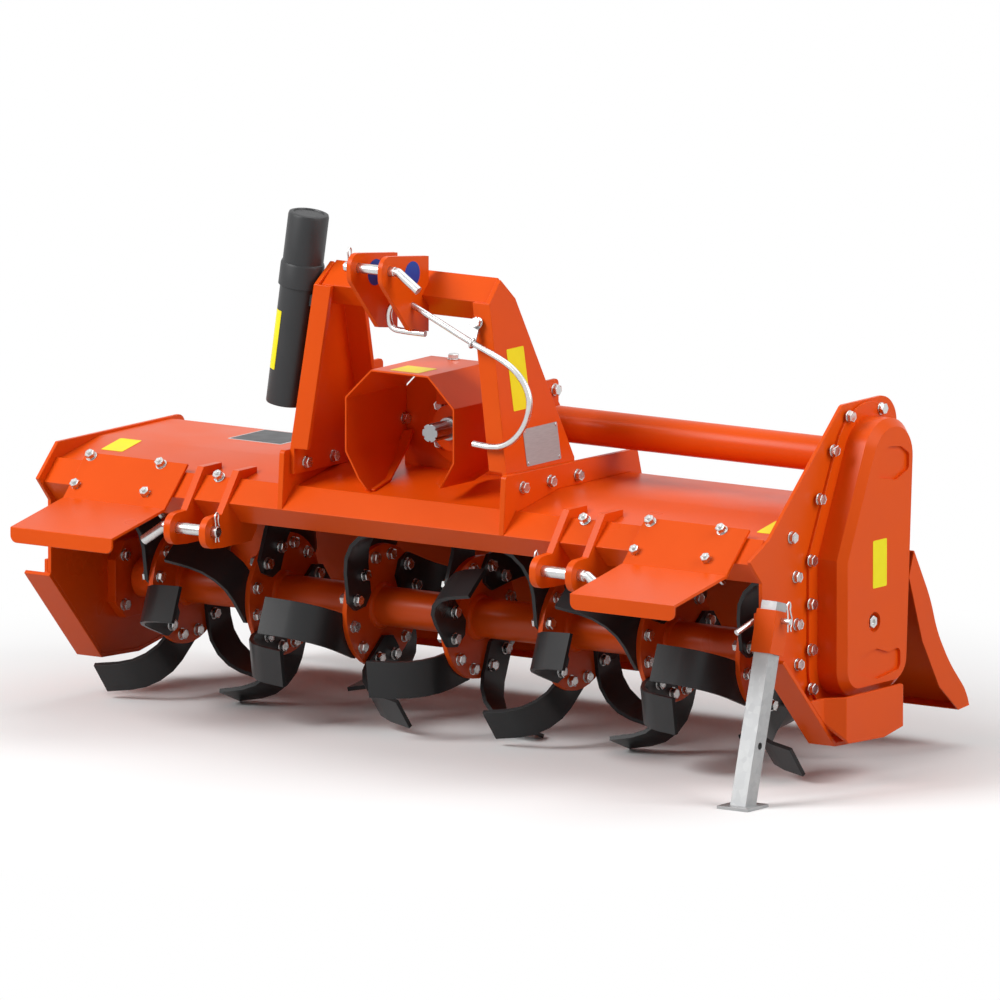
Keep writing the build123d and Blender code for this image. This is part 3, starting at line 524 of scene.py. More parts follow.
def enamel_skin(tree, shader, place, peel=1.0):
    """Sprayed enamel's surface: orange peel 4 mm wide, coarse enough to show, and a slow drift of gloss."""
    fine = add_node(tree, "ShaderNodeTexNoise", {"Scale": 260.0, "Detail": 2.0, "Roughness": 0.5},
                    {"Vector": place})
    drift = add_node(tree, "ShaderNodeTexNoise", {"Scale": 5.0, "Detail": 3.0}, {"Vector": place})
    gloss = add_node(tree, "ShaderNodeValToRGB", links={"Fac": drift.outputs["Fac"]},
                    stops=[(0.3, 0.27), (0.7, 0.38)]).outputs["Color"]
    tree.links.new(gloss, shader.inputs["Roughness"])
    bump = add_node(tree, "ShaderNodeBump", {"Strength": 0.06 * peel, "Distance": 0.001},
                    {"Height": fine.outputs["Fac"]})
    tree.links.new(bump.outputs["Normal"], shader.inputs["Normal"])
    return drift.outputs["Fac"]


def orange_enamel():
    """Polyester powder enamel baked on sheet steel: even deep orange, clear highlights, faint orange peel."""
    material, tree, shader, place = start_material("orange_powder_enamel", IOR=1.5,
                                                   Specular_IOR_Level=0.16)
    drift = enamel_skin(tree, shader, place)
    tint = add_node(tree, "ShaderNodeValToRGB", links={"Fac": drift},
                    stops=[(0.25, "#E25009"), (0.75, "#E9560B")]).outputs["Color"]
    tree.links.new(tint, shader.inputs["Base Color"])
    return material


def rotor_enamel():
    """Enamelled rotor: orange tube and flanges, and black forged spring-steel tines bolted on them.

    A tine is what lies beside a flange's sheet and off the tube, or outside the flange's rim.
    """
    material, tree, shader, place = start_material("rotor_enamels", IOR=1.5, Specular_IOR_Level=0.3)
    centre = add_node(tree, "ShaderNodeMapping", {"Location": -HUB}, {"Vector": place})
    axes = add_node(tree, "ShaderNodeSeparateXYZ", links={"Vector": centre.outputs["Vector"]})
    side = add_node(tree, "ShaderNodeCombineXYZ", links={"Y": axes.outputs["Y"], "Z": axes.outputs["Z"]})
    radius = add_node(tree, "ShaderNodeVectorMath", links={0: side.outputs["Vector"]}, operation="LENGTH")
    radius = radius.outputs["Value"]
    along = add_node(tree, "ShaderNodeMath", {1: flange_x(0) / 1000}, {0: axes.outputs["X"]},
                     operation="SUBTRACT")
    fold = add_node(tree, "ShaderNodeMath", {1: FLANGE_PITCH / 1000}, {0: along.outputs["Value"]},
                    operation="DIVIDE")
    nearest = add_node(tree, "ShaderNodeMath", links={0: fold.outputs["Value"]}, operation="ROUND")
    back = add_node(tree, "ShaderNodeMath", {1: FLANGE_PITCH / 1000}, {0: nearest.outputs["Value"]},
                    operation="MULTIPLY")
    offset = add_node(tree, "ShaderNodeMath",
                      links={0: along.outputs["Value"], 1: back.outputs["Value"]}, operation="SUBTRACT")
    offset = add_node(tree, "ShaderNodeMath", links={0: offset.outputs["Value"]}, operation="ABSOLUTE")
    beside = add_node(tree, "ShaderNodeMath", {1: (FLANGE_HALF + 0.15) / 1000},
                      {0: offset.outputs["Value"]}, operation="GREATER_THAN")
    off_tube = add_node(tree, "ShaderNodeMath", {1: (ROTOR_TUBE_RADIUS + 0.3) / 1000}, {0: radius},
                        operation="GREATER_THAN")
    outside = add_node(tree, "ShaderNodeMath", {1: (FLANGE_RADIUS + 0.3) / 1000}, {0: radius},
                       operation="GREATER_THAN")
    on_tine = add_node(tree, "ShaderNodeMath",
                       links={0: beside.outputs["Value"], 1: off_tube.outputs["Value"]},
                       operation="MULTIPLY")
    on_tine = add_node(tree, "ShaderNodeMath",
                       links={0: on_tine.outputs["Value"], 1: outside.outputs["Value"]},
                       operation="MAXIMUM")
    drift = enamel_skin(tree, shader, place, peel=1.6)
    orange = add_node(tree, "ShaderNodeValToRGB", links={"Fac": drift},
                    stops=[(0.25, "#DC4E09"), (0.75, "#E3540B")]).outputs["Color"]
    black = add_node(tree, "ShaderNodeValToRGB", links={"Fac": drift},
                    stops=[(0.25, "#242526"), (0.75, "#303132")]).outputs["Color"]
    skin = add_node(tree, "ShaderNodeMix", links={"Factor": on_tine.outputs["Value"]}, data_type="RGBA")
    tree.links.new(orange, skin.inputs["A"])
    tree.links.new(black, skin.inputs["B"])
    tree.links.new(skin.outputs["Result"], shader.inputs["Base Color"])
    return material


def zinc_plate():
    """Bright zinc plating on rolled steel: cool silver with a faint sheen, mottled over some 15 mm."""
    material, tree, shader, place = start_material("bright_zinc_plate", Metallic=1.0)
    cloud = add_node(tree, "ShaderNodeTexNoise", {"Scale": 60.0, "Detail": 2.0}, {"Vector": place})
    tint_and_gloss(tree, shader, cloud.outputs["Fac"], [(0.3, "#C9CACB"), (0.7, "#D6D5D2")],
                   cloud.outputs["Fac"], [(0.3, 0.24), (0.7, 0.3)])
    return material


def galvanised():
    """Hot-dip galvanised steel: matt grey metal with spangle about 12 mm across."""
    material, tree, shader, place = start_material("hot_dip_galvanised_steel", Metallic=0.75)
    spangle = add_node(tree, "ShaderNodeTexVoronoi", {"Scale": 85.0, "Randomness": 1.0}, {"Vector": place})
    grey = add_node(tree, "ShaderNodeSeparateColor", links={"Color": spangle.outputs["Color"]})
    tint_and_gloss(tree, shader, grey.outputs["Red"], [(0.0, "#A6A7A8"), (1.0, "#AFB0B0")],
                   grey.outputs["Green"], [(0.0, 0.45), (1.0, 0.52)])
    return material


def turned_steel():
    """Bare turned steel: mid grey, with rings round the shaft 2 mm apart, coarse enough to show."""
    material, tree, shader, place = start_material("turned_steel", Metallic=1.0)
    centre = add_node(tree, "ShaderNodeMapping", {"Location": -shaft_middle()}, {"Vector": place})
    rings = add_node(tree, "ShaderNodeTexWave", {"Scale": 160.0, "Distortion": 0.4, "Detail": 1.0},
                     {"Vector": centre.outputs["Vector"]}, bands_direction="Y")
    tint_and_gloss(tree, shader, rings.outputs["Fac"], [(0.0, "#9A9B9D"), (1.0, "#B0B1B2")],
                   rings.outputs["Fac"], [(0.0, 0.26), (1.0, 0.4)])
    return material


def shaft_middle():
    """Middle of the input shaft, in metres."""
    low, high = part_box("input_shaft")
    return (Vector(low) + Vector(high)) / 2


def moulded_black():
    """Blow-moulded black polyethylene: soft satin sheen over a grain 2 mm wide, coarse enough to show."""
    material, tree, shader, place = start_material("moulded_black_polyethylene", IOR=1.51)
    grain = add_node(tree, "ShaderNodeTexNoise", {"Scale": 420.0, "Detail": 2.0}, {"Vector": place})
    cloud = add_node(tree, "ShaderNodeTexNoise", {"Scale": 14.0, "Detail": 2.0}, {"Vector": place})
    tint_and_gloss(tree, shader, cloud.outputs["Fac"], [(0.3, "#1B1C1E"), (0.7, "#232426")],
                   cloud.outputs["Fac"], [(0.3, 0.42), (0.7, 0.52)])
    bump = add_node(tree, "ShaderNodeBump", {"Strength": 0.12, "Distance": 0.0006},
                    {"Height": grain.outputs["Fac"]})
    tree.links.new(bump.outputs["Normal"], shader.inputs["Normal"])
    return material


def vinyl(name, low, high):
    """Printed vinyl film: one flat ink under a thin gloss, a little uneven over some 30 mm."""
    material, tree, shader, place = start_material(name, IOR=1.46, Specular_IOR_Level=0.2)
    cloud = add_node(tree, "ShaderNodeTexNoise", {"Scale": 30.0, "Detail": 2.0}, {"Vector": place})
    tint_and_gloss(tree, shader, cloud.outputs["Fac"], [(0.3, low), (0.7, high)],
                   cloud.outputs["Fac"], [(0.3, 0.35), (0.7, 0.45)])
    return material


def anodised_plate():
    """Brushed and anodised aluminium sheet: grey, with lines 1 mm apart along its length."""
    material, tree, shader, place = start_material("brushed_anodised_aluminium", Metallic=0.15)
    stretch = add_node(tree, "ShaderNodeMapping", {"Scale": (1, 0.06, 1)}, {"Vector": place})
    brush = add_node(tree, "ShaderNodeTexNoise", {"Scale": 900.0, "Detail": 2.0},
                     {"Vector": stretch.outputs["Vector"]})
    tint_and_gloss(tree, shader, brush.outputs["Fac"], [(0.3, "#A3A4A6"), (0.7, "#B2B3B4")],
                   brush.outputs["Fac"], [(0.3, 0.38), (0.7, 0.5)])
    return material


ORANGE = orange_enamel()
ZINC = zinc_plate()
YELLOW = vinyl("yellow_vinyl", "#FBEA1E", "#FFF02A")
GALVANISED = galvanised()
BLUE = vinyl("blue_vinyl", "#2546A0", "#2A4DAC")
CHARCOAL = vinyl("charcoal_vinyl", "#3A3B3D", "#424345")
PALE = vinyl("pale_vinyl", "#D8D8D6", "#E2E2E0")
PLATE = anodised_plate()
BLACK = moulded_black()

FINISHES = {
    "rotor": rotor_enamel(),
    "input_shaft": turned_steel(),
    "canister": BLACK,
    "stand_leg": GALVANISED,
    "driveline_hook": ZINC,
    "guard_clamps": ZINC,
    "tailboard_hinge": ZINC,
    "top_link_pin": ZINC,
    "hitch_pin_left": ZINC,
    "hitch_pin_right": ZINC,
}


# ---- sheet and case ----


def dress_nodes():
    """Every solid takes its finish; all but those with a piece of their own are shown with rounded edges."""
    for name, node in frame["nodes"].items():
        material = FINISHES.get(name, ORANGE)
        node.data.materials.clear()
        node.data.materials.append(material)
        if name not in OWN_SHAPE:
            piece = rounded(name, EDGE_WIDTH.get(name, PLAIN_EDGE_WIDTH))
            finish(piece, material, BODY_OF[name])


def drive_case():
    """Pressed cover over the gear train: soft bevel round its face, two pressings, a seat for the plug."""
    back = RIGHT_PLATE_FACE
    face = CASE_FACE
    outline = [(-83, -58, 55), (140, -58, 55), (167, 455, 76), (30, 455, 76), (-83, 205)]
    rim = [(-110, -85, 82), (169, -85, 82), (169, 220), (192, 300), (192, 482, 107), (13.8, 482, 107),
           (-110, 215.8)]
    upper = [(30, 350, 14), (34, 386, 16), (70, 405, 20), (110, 400, 14), (136, 384, 10), (136, 354, 10),
             (92, 338, 14)]
    lower = [(-38, -16, 12), (-30, 14, 12), (28, 25, 20), (70, 12, 20), (108, 18, 12), (108, -24, 12),
             (34, -34, 20)]
    case = outline_plate("drive_case", outline, back, face - CASE_CHAMFER)
    bpy.ops.object.mode_set(mode="EDIT")
    faces_where(case, lambda centre, normal: normal.x > 0.9)
    bpy.ops.mesh.inset(thickness=CASE_CHAMFER / 1000, depth=CASE_CHAMFER / 1000)
    bpy.ops.object.mode_set(mode="OBJECT")
    for pressing in (upper, lower):
        cut_away(case, outline_plate("pressing", pressing, face - PRESSING_DEPTH, face + 5))
    seat = disc(PLUG_SEAT_RADIUS, -PLUG_SEAT_DEPTH, 7, 40, 0.1)
    seat.data.transform(standing(at(face, *LEVEL_PLUG), (1, 0, 0)))
    cut_away(case, seat)
    soften(case, 2.6, 24)
    flange = soften(outline_plate("rim", rim, back, back + CASE_RIM), 1.2, 24)
    case = joined([flange, case], "drive_case_cover")
    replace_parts(finish(case, ORANGE), "side_drive_case")


def trim_guard():
    """The guard's right side ends 3 mm above the hood, where its left side stands on it."""
    guard = bpy.data.objects["pto_guard_rounded"]
    right_side = HUB.x + 0.06
    pick(guard)
    bpy.ops.object.mode_set(mode="EDIT")
    faces_where(guard, lambda centre, normal: centre.x > right_side)
    bpy.ops.mesh.bisect(plane_co=at(0, 0, HOOD_TOP + 3), plane_no=(0, 0, 1), clear_inner=True, use_fill=True)
    bpy.ops.object.mode_set(mode="OBJECT")


def flat_bar(name, points, width, thickness):
    """Bent flat bar along points in millimetres, its width across X; its runs overlap at the bends."""
    runs = []
    for start, end in zip(points, points[1:]):
        start, end = Vector(start), Vector(end)
        length = (end - start).length
        along = (end - start).normalized()
        across = (Vector((1, 0, 0)) - along * along.x).normalized()
        turn = Matrix((across, along.cross(across), along)).transposed().to_4x4()
        run = block((width, thickness, length + thickness * 0.6), (0, 0, 0))
        run.data.transform(Matrix.Translation(at(*((start + end) / 2))) @ turn)
        runs.append(run)
    return joined(runs, name)


def guard_stay():
    """Flat stay from the hood up to the side of the guard by the gearbox."""
    route = [(-92, -216, 264.5), (-96, -158, 276), (-116, -72, 326), (-122, -48, 352)]
    finish(flat_bar("guard_stay", route, 22, 5), ORANGE)


# ---- rods, pins and the canister ----


def hook():
    """Bright bent rod that holds the drive shaft up when the tiller is parked, and the strap by its bend."""
    bends = [(70, 586), (14, 586), (-9, 590), (-16, 613), (-9, 636), (14, 645), (41, 638), (105, 610),
             (169, 582), (247, 553), (280, 533), (305, 504), (312, 470), (298, 428), (267, 395), (225, 381),
             (181, 386)]
    piece = bent_tube("driveline_hook_rod", [at(x, HOOK_Y, z) for x, z in bends], 6.0)
    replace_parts(finish(piece, ZINC), "driveline_hook")
    label("hook_strap", at(186, -246, 620), (-1, 0, 0), (0, -17, -42), 12, 46, 4, GALVANISED,
          thickness=3)
    strap_bolt = standing(at(180, -249, 614), (0, -1, 0.4))
    finish(copies(SMALL_BOLT, [strap_bolt], "hook_strap_bolt"), ZINC)
    deselect()
    bpy.ops.mesh.primitive_torus_add(
        major_radius=0.0086, minor_radius=0.0024, major_segments=28, minor_segments=12,
        location=at(179, HOOK_Y, 578), rotation=(0, math.radians(110), 0)
    )
    eye = settle(bpy.context.object, 60)
    eye.name = "hook_strap_eye"
    finish(eye, ZINC)


def clamp_frame(x, along, out):
    """Point by the beam: along runs up and back over its front upper face, out stands off it."""
    slant = 0.5 ** 0.5
    return at(x, BEAM_Y + (along - out) * slant, BEAM_Z + (along + out) * slant)


def clamp_columns():
    """X of each U-bolt that clamps a front guard, from the left."""
    firsts = [edge(node, 0, 0) + CLAMP_INSET for node in FRONT_GUARDS]
    return [first + step for first in firsts for step in (0, CLAMP_PITCH)]


def guard_u_bolts():
    """Square U-bolts round the beam that clamp the front guards."""
    route = [(-CLAMP_LEG, CLAMP_END), (-CLAMP_LEG, -CLAMP_LEG), (CLAMP_LEG, -CLAMP_LEG),
             (CLAMP_LEG, CLAMP_END)]
    rods = []
    for x in clamp_columns():
        points = [clamp_frame(x, along, out) for along, out in route]
        rods.append(bent_tube("u_bolt", points, 5.0, corner=9))
    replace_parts(finish(joined(rods, "u_bolts"), ZINC), "guard_clamps")


def draw_pin(node, radius, place, low, high, side):
    """Hitch pin from low to high, a chamfered bar with a bent handle on the end of the given side."""
    y, z = place
    bar = disc(radius, 0, high - low, 40, 1.6)
    bar.data.transform(standing(at(low, y, z), (1, 0, 0)))
    end = high if side > 0 else low
    bend = end + side * 6
    across = side * PIN_HANDLE * math.cos(PIN_HANDLE_DROP)
    drop = PIN_HANDLE * math.sin(PIN_HANDLE_DROP)
    route = [at(end - side * 12, y, z), at(bend, y, z), at(bend + across, y, z - drop)]
    handle = bent_tube("handle", route, radius * 0.9, corner=5)
    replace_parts(finish(joined([handle, bar], node + "_bar"), ZINC), node)


def hitch_pins():
    """Draw pins of the two lower brackets, handles outwards, and of the top bracket."""
    for side, node in ((-1, "hitch_pin_left"), (1, "hitch_pin_right")):
        middle = side * LOWER_SPREAD / 2
        draw_pin(node, LOWER_PIN_RADIUS, LOWER_PIN, middle - LOWER_PIN_HALF, middle + LOWER_PIN_HALF, side)
    draw_pin("top_link_pin", TOP_PIN_RADIUS, TOP_PIN, *TOP_PIN_ENDS, 1)


def canister():
    """Black document tube: body, a wider collar under the long cap, two mounting blocks and a label."""
    body = turned([(34, 72), (37, 73), (CANISTER_RADIUS, 76), (CANISTER_RADIUS, 303), (42, 304.5), (42, 346),
                   (40.5, 350), (39, 351), (39, 441), (37.6, 445.6), (34, 447), (30, 447), (29, 445),
                   (2, 445)], 64)
    to_upright = CANISTER_RADIUS + CANISTER_STANDOFF
    blocks = [block((CANISTER_BLOCK, 30, 24), (to_upright - CANISTER_BLOCK / 2, 0, height))
              for height in (130, 285)]
    stand = (Matrix.Translation(at(-MAST_FOLD_X, CANISTER_Y, MAST_FOLD_Z))
             @ Matrix.Rotation(MAST_SPLAY, 4, "Y") @ Matrix.Translation((-to_upright / 1000, 0, 0)))
    piece = joined([*blocks, body], "document_canister")
    piece.data.transform(stand)
    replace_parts(finish(piece, BLACK), "canister")
    strip = turned([(CANISTER_RADIUS + 0.1, 140), (CANISTER_RADIUS + 0.1, 255)], 96)
    pick(strip)
    bpy.ops.object.mode_set(mode="EDIT")
    facing = Vector((math.cos(CANISTER_LABEL_TURN), math.sin(CANISTER_LABEL_TURN), 0))
    faces_where(strip, lambda centre, normal: abs(normal.z) > 0.5 or normal.dot(facing) < 0.955)
    bpy.ops.mesh.delete(type="FACE")
    bpy.ops.object.mode_set(mode="OBJECT")
    wall = strip.modifiers.new("film", "SOLIDIFY")
    wall.thickness = 0.0004
    wall.offset = 1
    bpy.ops.object.modifier_apply(modifier=wall.name)
    strip.name = "canister_label"
    strip.data.transform(stand)
    finish(strip, YELLOW)


def stand_pin():
    """Pin through the stand's sleeve, its handle bent forward."""
    y, z = STAND_PIN
    low = edge("stand_sleeve", 0, 0)
    high = edge("stand_sleeve", 0, 1)
    route = [at(high + 20, y, z), at(low - 4, y, z), at(low - 16, y - 52, z - 22)]
    finish(bent_tube("stand_pin_rod", route, 5.5, corner=7), ZINC)


def weld_beads():
    """Fillet welds of the flanges on the rotor's tube."""
    steps = [(-0.5, -12.5), (4, -9.5), (7, -5), (7, 5), (4, 9.5), (-0.5, 12.5)]
    ring = turned([(ROTOR_TUBE_RADIUS + out, along) for out, along in steps])
    places = [standing(at(flange_x(flange), 0, 0), (1, 0, 0)) for flange in range(FLANGE_COUNT)]
    finish(copies(ring, places, "flange_welds"), ORANGE, "rotor")
    bpy.data.objects.remove(ring)


# ---- fastenings ----


def rotor_bolts():
    """Two bolts through each tine's root: heads on the +X side, nuts on the other."""
    heads = []
    nuts = []
    for flange in range(FLANGE_COUNT):
        x = flange_x(flange)
        for tine in range(TINES_PER_FLANGE):
            root = FIRST_ROOT_ANGLE + FLANGE_STEP_ANGLE * flange + 360 / TINES_PER_FLANGE * tine
            on_right = tine % 2 == 1
            right_face = x + FLANGE_HALF + (TINE_PLATE if on_right else 0)
            left_face = x - FLANGE_HALF - (0 if on_right else TINE_PLATE)
            for spread in (-BOLT_SPREAD_ANGLE, BOLT_SPREAD_ANGLE):
                angle = math.radians(root + spread)
                y = BOLT_CIRCLE * math.cos(angle)
                z = BOLT_CIRCLE * math.sin(angle)
                heads.append(standing(at(right_face, y, z), (1, 0, 0), angle))
                nuts.append(standing(at(left_face, y, z), (-1, 0, 0), angle))
    finish(copies(SMALL_BOLT, heads, "tine_bolt_heads"), ZINC, "rotor")
    finish(copies(SMALL_NUT, nuts, "tine_bolt_nuts"), ZINC, "rotor")


def clamp_nuts():
    """Nuts on the U-bolts' legs, through the front guards, and on the hitch brackets' clamps."""
    normal = (0, -1, 1)
    places = []
    for x in clamp_columns():
        for along in (-CLAMP_LEG, CLAMP_LEG):
            place = clamp_frame(x, along, BEAM_HALF + GUARD_SHEET)
            places.append(standing(place, normal, 0.3 * len(places)))
    for side in (-1, 1):
        place = clamp_frame(side * LOWER_SPREAD / 2, BEAM_HALF - 4, BEAM_HALF)
        places.append(standing(place, normal, 0.2))
    finish(copies(CLAMP_NUT, places, "clamp_nuts"), ZINC)


def ring_of_six(middle, radius):
    """Six spots round a middle, the first of them 30 degrees from the first axis."""
    turns = [math.radians(30 + 60 * step) for step in range(6)]
    return [(middle[0] + radius * math.cos(turn), middle[1] + radius * math.sin(turn)) for turn in turns]


def plate_bolts():
    """Bolts of the end plates, bearings, drive case, drive tube and mast's feet."""
    case_rim = RIGHT_PLATE_FACE + CASE_RIM
    tube_flange = edge("drive_tube", 0, 1) - DRIVE_TUBE_FLANGE
    ring = ring_of_six((DRIVE_TUBE_Y, DRIVE_Z), 48)
    bearing = [(y, z) for y in (-48, 48) for z in (-48, 48)]
    # rows: x, the side that the heads face, places
    rows = [
        (case_rim, 1, [(-106, 206), (-106, 123), (-106, 36), (-104, -39), (-78, 319), (-32, 405),
                       (21, 463), (127, 464), (158, 260), (158, 150), (158, 40)]),
        (RIGHT_PLATE_FACE, 1, [(-162, 257), (-147, 180), (-144, 89), (-141, 12)]),
        (LEFT_PLATE_FACE, -1, bearing + [(-216, 215), (150, 215)]),
        (edge("left_bearing", 0, 1), 1, bearing),
        (edge("right_bearing", 0, 0), -1, bearing),
        (tube_flange, -1, ring),
        (FOOT_PLATE_FACE, 1, FOOT_BOLTS),
        (-FOOT_PLATE_FACE, -1, FOOT_BOLTS),
    ]
    places = []
    for x, side, spots in rows:
        for y, z in spots:
            places.append(standing(at(x, y, z), (side, 0, 0), 0.37 * len(places)))
    finish(copies(SMALL_BOLT, places, "plate_bolts"), ZINC)


def mast_nuts():
    """Nuts on the uprights' inner faces, behind the foot plates, and bolts in the rear lugs."""
    x, y, z = REAR_LUG_BOLT
    places = []
    for side in (-1, 1):
        for foot_bolt in FOOT_BOLTS:
            nut = at(side * (MAST_FOLD_X - MAST_SHEET), foot_bolt[0], FOOT_NUT_Z)
            places.append(standing(nut, (-side, 0, 0), 0.4))
        places.append(standing(at(side * x, y, z), (side, 0, 0), 0.2))
    finish(copies(SMALL_BOLT, places, "mast_nuts"), ZINC)


def gearbox_bolts():
    """Bolts round the input shaft, on the guard's top, on the gearbox's feet and on the guard's sides."""
    front = edge("gearbox", 1, 0) + INPUT_NOSE
    places = []
    for x in (-46, 46):
        for rise in (-36, 36):
            places.append(standing(at(x, front, DRIVE_Z + rise), (0, -1, 0), 0.3))
    places.append(standing(at(-14.5, -51, GUARD_TOP), (0, 0, 1), 0.5))
    for x in (-108, 108):
        for y in (0, 110):
            places.append(standing(at(x, y, HOOD_TOP + GEARBOX_FOOT), (0, 0, 1), 0.2))
    left = edge("pto_guard", 0, 0)
    right = edge("pto_guard", 0, 1)
    for x, side in ((left, -1), (left + PTO_GUARD_SHEET, 1), (right, 1), (right - PTO_GUARD_SHEET, -1)):
        places.append(standing(at(x, -48, DRIVE_Z + 3), (side, 0, 0), 0.6))
    finish(copies(SMALL_BOLT, places, "gearbox_bolts"), ZINC)


def rear_cover():
    """Round cover on the gearbox's back, with six screws."""
    back = edge("gearbox", 1, 1)
    cover = disc(62, -1, REAR_COVER, 48, 1.5)
    boss = disc(26, 4, 9, 36, 1.2)
    piece = joined([cover, boss], "gearbox_rear_cover")
    piece.data.transform(standing(at(0, back, DRIVE_Z), (0, 1, 0)))
    finish(piece, ORANGE)
    screws = [standing(at(x, back + REAR_COVER, z), (0, 1, 0)) for x, z in ring_of_six((0, DRIVE_Z), 46)]
    finish(copies(SMALL_BOLT, screws, "rear_cover_screws"), ZINC)


def level_plug():
    """Hexagon plug with a hexagon socket, down in its round seat in the drive case."""
    washer = disc(13.5, 0, 2, 36, 0.5)
    plug = disc(12.4, 2, 10.5, 6, 0.8)
    pick(plug)
    bpy.ops.object.mode_set(mode="EDIT")
    faces_where(plug, lambda centre, normal: normal.z > 0.9)
    bpy.ops.mesh.inset(thickness=0.0052)
    bpy.ops.mesh.extrude_region_move(TRANSFORM_OT_translate={"value": (0, 0, -0.004)})
    bpy.ops.object.mode_set(mode="OBJECT")
    piece = joined([washer, plug], "level_plug")
    piece.data.transform(standing(at(CASE_FACE - PLUG_SEAT_DEPTH, *LEVEL_PLUG), (1, 0, 0)))
    finish(piece, ZINC)


def pin_clips():
    """Spring clips through the free ends of the hitch pins, the top pin and the stand's pin."""
    places = [at(edge("hitch_pin_left", 0, 1) - CLIP_INSET, *LOWER_PIN),
              at(edge("hitch_pin_right", 0, 0) + CLIP_INSET, *LOWER_PIN),
              at(edge("top_link_pin", 0, 0) + CLIP_INSET, *TOP_PIN),
              at(edge("stand_sleeve", 0, 1) + 2 * CLIP_INSET, *STAND_PIN)]
    quarter = Matrix.Rotation(math.radians(90), 4, "Z")
    finish(copies(CLIP, [Matrix.Translation(place) @ quarter for place in places], "spring_clips"), ZINC)


# ---- labels and plates, all blank ----


def on_upright(y, z):
    """Point on the right upright's outer face, which leans inwards above its fold."""
    return at(MAST_FOLD_X - (z - MAST_FOLD_Z) * math.tan(MAST_SPLAY), y, z)


def labels():
    """Labels on the mast, drive case, guard and hood, with the hood's dark one on a pale edge."""
    right, back, up = (1, 0, 0), (0, 1, 0), (0, 0, 1)
    label("upright_label", on_upright(-207, 445), back, UPRIGHT_UP, 56, 118, 3, YELLOW)
    label("data_plate", on_upright(-186, 338), back, UPRIGHT_UP, 112, 71, 3, PLATE,
          thickness=DATA_PLATE_SHEET)
    label("case_label", at(CASE_FACE, 15.4, 140.5), back, up, 46, 91, 3, YELLOW)
    label("guard_label", at(-43, -221, GUARD_TOP), right, back, 68, 61, 3, YELLOW)
    label("hood_plate_edge", at(-583, 8, HOOD_TOP), right, back, 125, 123, 3, PALE)
    label("hood_plate", at(-579, 12, HOOD_TOP + 0.4), right, back, 117, 115, 2, CHARCOAL)
    for name, x, y in (("hood_label_left", -754, -167), ("hood_label_right", 782, -196)):
        z = HOOD_TOP + HOOD_SLOPE * (y - HOOD_FOLD_Y)
        label(name, at(x, y, z), right, (0, 1, HOOD_SLOPE), 50, 66, 3, YELLOW)


def ear_discs():
    """Round blue stickers on the top bracket's ears."""
    for name, x, y in (("ear_disc_right", 41, -266), ("ear_disc_left", -31, -284)):
        spot = disc(25, 0, 0.5, 48, 0.1)
        spot.name = name
        spot.data.transform(standing(at(x, y, 697), (1, 0, 0)))
        finish(spot, BLUE)


def plate_rivets():
    """Rivets at the data plate's corners, standing on its sheet."""
    sheet = Vector((DATA_PLATE_SHEET / 1000, 0, 0))
    places = [standing(on_upright(y, z) + sheet, UPRIGHT_OUT) for y in (-181, -79) for z in (344, 404)]
    finish(copies(RIVET, places, "plate_rivets"), ZINC)


# ---- studio ----


def seen_directly(tree):
    """Light path node, and 1 on rays from the camera or off a glossy surface, 0 on the rest."""
    path = add_node(tree, "ShaderNodeLightPath")
    seen = add_node(tree, "ShaderNodeMath", links={0: path.outputs["Is Camera Ray"],
                                                   1: path.outputs["Is Glossy Ray"]}, operation="MAXIMUM")
    return path, seen.outputs["Value"]


def paper_floor():
    """White paper that fades to plain white away from the tiller.

    The paper sends less light back up to the tiller than it shows, so that the places below stay dark.
    """
    deselect()
    bpy.ops.mesh.primitive_plane_add(size=120, location=(0, 0, 0))
    floor = bpy.context.object
    floor.name = "studio_floor"
    material, tree, shader, place = start_material("studio_paper", Roughness=0.95, Specular_IOR_Level=0.0)
    far = add_node(tree, "ShaderNodeVectorMath", links={0: place}, operation="LENGTH")
    fade = add_node(tree, "ShaderNodeMapRange", {"From Min": 0.85, "From Max": 1.7},
                    {"Value": far.outputs["Value"]}, interpolation_type="SMOOTHSTEP")
    path, seen = seen_directly(tree)
    grey = add_node(tree, "ShaderNodeMapRange", {"To Min": 0.955, "To Max": 0.55},
                    {"Value": path.outputs["Is Diffuse Ray"]})
    tree.links.new(grey.outputs["Result"], shader.inputs["Base Color"])
    factor = add_node(tree, "ShaderNodeMath", links={0: fade.outputs["Result"], 1: seen},
                      operation="MULTIPLY")
    white = add_node(tree, "ShaderNodeEmission", {"Color": (1, 1, 1, 1), "Strength": 1.0})
    paper = add_node(tree, "ShaderNodeMixShader", links={0: factor.outputs["Value"],
                                                         1: shader.outputs["BSDF"],
                                                         2: white.outputs["Emission"]})
    tree.links.new(paper.outputs["Shader"], tree.nodes["Material Output"].inputs["Surface"])
    floor.data.materials.append(material)


def pale_world():
    """World that looks white and lights the tiller faintly."""
    world = bpy.data.worlds.new("studio_world")
    bpy.context.scene.world = world
    world.use_nodes = True
    tree = world.node_tree
    tree.nodes.clear()
    seen = seen_directly(tree)[1]
    soft = add_node(tree, "ShaderNodeBackground", {"Color": (1, 1, 1, 1), "Strength": 0.13})
    white = add_node(tree, "ShaderNodeBackground", {"Color": (1, 1, 1, 1), "Strength": 1.0})
    mixed = add_node(tree, "ShaderNodeMixShader", links={0: seen, 1: soft.outputs["Background"],
                                                         2: white.outputs["Background"]})
    add_node(tree, "ShaderNodeOutputWorld", links={"Surface": mixed.outputs["Shader"]})


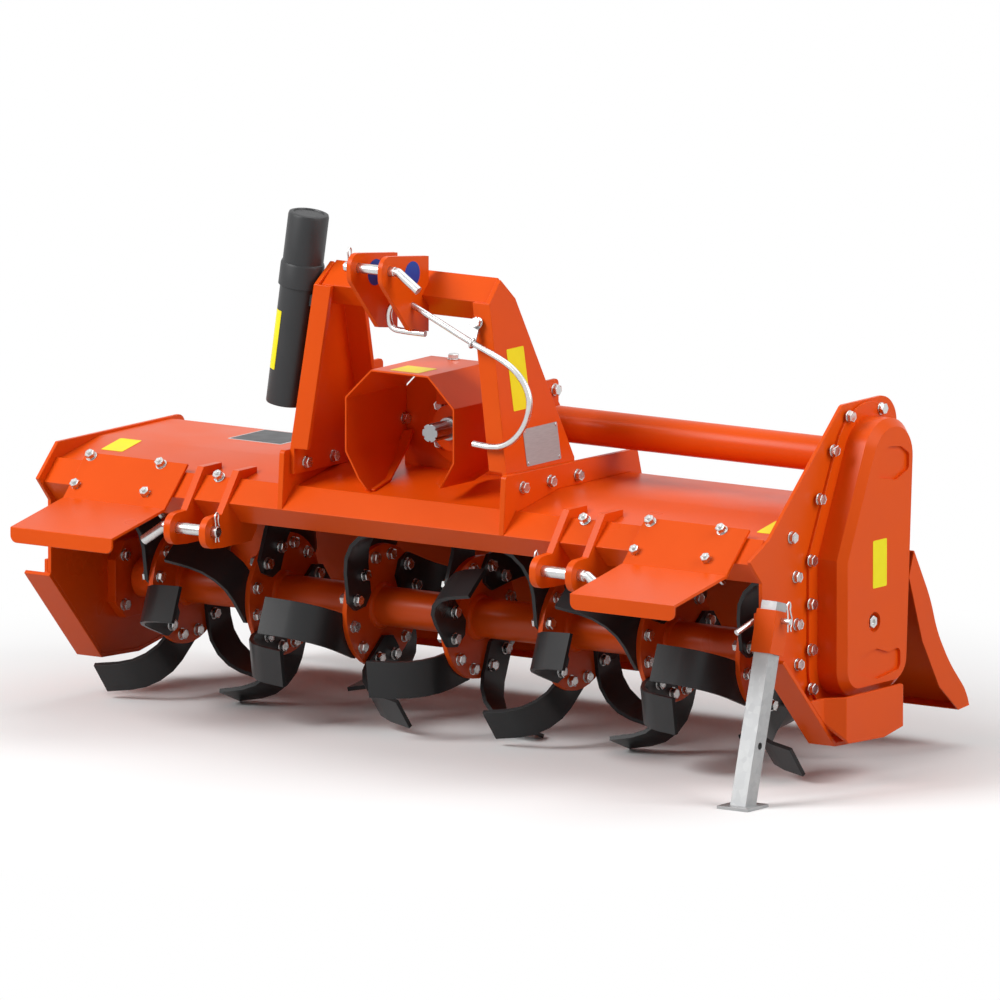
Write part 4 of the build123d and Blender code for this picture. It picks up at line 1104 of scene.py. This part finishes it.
def soft_lamps():
    """Three square area lamps that face the tiller's middle."""
    # rows: name, place in metres, power in watts, size in metres
    lamps = [
        ("key_softbox", (-2.6, -4.2, 4.2), 330.0, 3.0),
        ("side_softbox", (4.4, 0.3, 2.9), 125.0, 3.0),
        ("top_softbox", (0.4, 1.2, 4.6), 55.0, 3.5),
    ]
    middle = Vector((0, 0, 0.35))
    for name, place, power, size in lamps:
        light = bpy.data.lights.new(name, "AREA")
        light.energy = power
        light.size = size
        lamp = new_object(name, light)
        lamp.location = place
        lamp.rotation_euler = (middle - Vector(place)).to_track_quat("-Z", "Y").to_euler()


def camera():
    """Long lens from the front right, slightly above, with 1.9 m across the frame at the tiller."""
    azimuth = math.radians(35.0)
    elevation = math.radians(9.66)
    width = 1.8977
    aim_right = 0.0469
    aim_up = 0.2209
    lens = bpy.data.cameras.new("camera")
    lens.lens = 1200.0
    lens.sensor_width = 36.0
    view = new_object("camera", lens)
    back = Vector((math.sin(azimuth) * math.cos(elevation), -math.cos(azimuth) * math.cos(elevation),
                   math.sin(elevation)))
    right = Vector((math.cos(azimuth), math.sin(azimuth), 0))
    up = back.cross(right)
    target = HUB + right * aim_right + up * aim_up
    distance = width * lens.lens / lens.sensor_width
    view.location = target + back * distance
    view.rotation_euler = back.to_track_quat("Z", "Y").to_euler()
    lens.clip_end = 200.0
    bpy.context.scene.camera = view
    bpy.context.scene.view_settings.view_transform = "Standard"


# ---- the build: fastenings that are copied, the tiller, and the studio ----
SMALL_BOLT = bolt_head(19)
SMALL_NUT = nut_on_stud(19, 17)
CLAMP_NUT = nut_on_stud(17, 18)
CLIP = r_clip()
RIVET = disc(3.2, 0, 1.6, 16, 0.7)

dress_nodes()
drive_case()
trim_guard()
guard_stay()
hook()
guard_u_bolts()
hitch_pins()
canister()
stand_pin()
weld_beads()
rotor_bolts()
clamp_nuts()
plate_bolts()
mast_nuts()
gearbox_bolts()
rear_cover()
level_plug()
pin_clips()
labels()
ear_discs()
plate_rivets()
for template in (SMALL_BOLT, SMALL_NUT, CLAMP_NUT, CLIP, RIVET):
    bpy.data.objects.remove(template)
paper_floor()
pale_world()
soft_lamps()
camera()
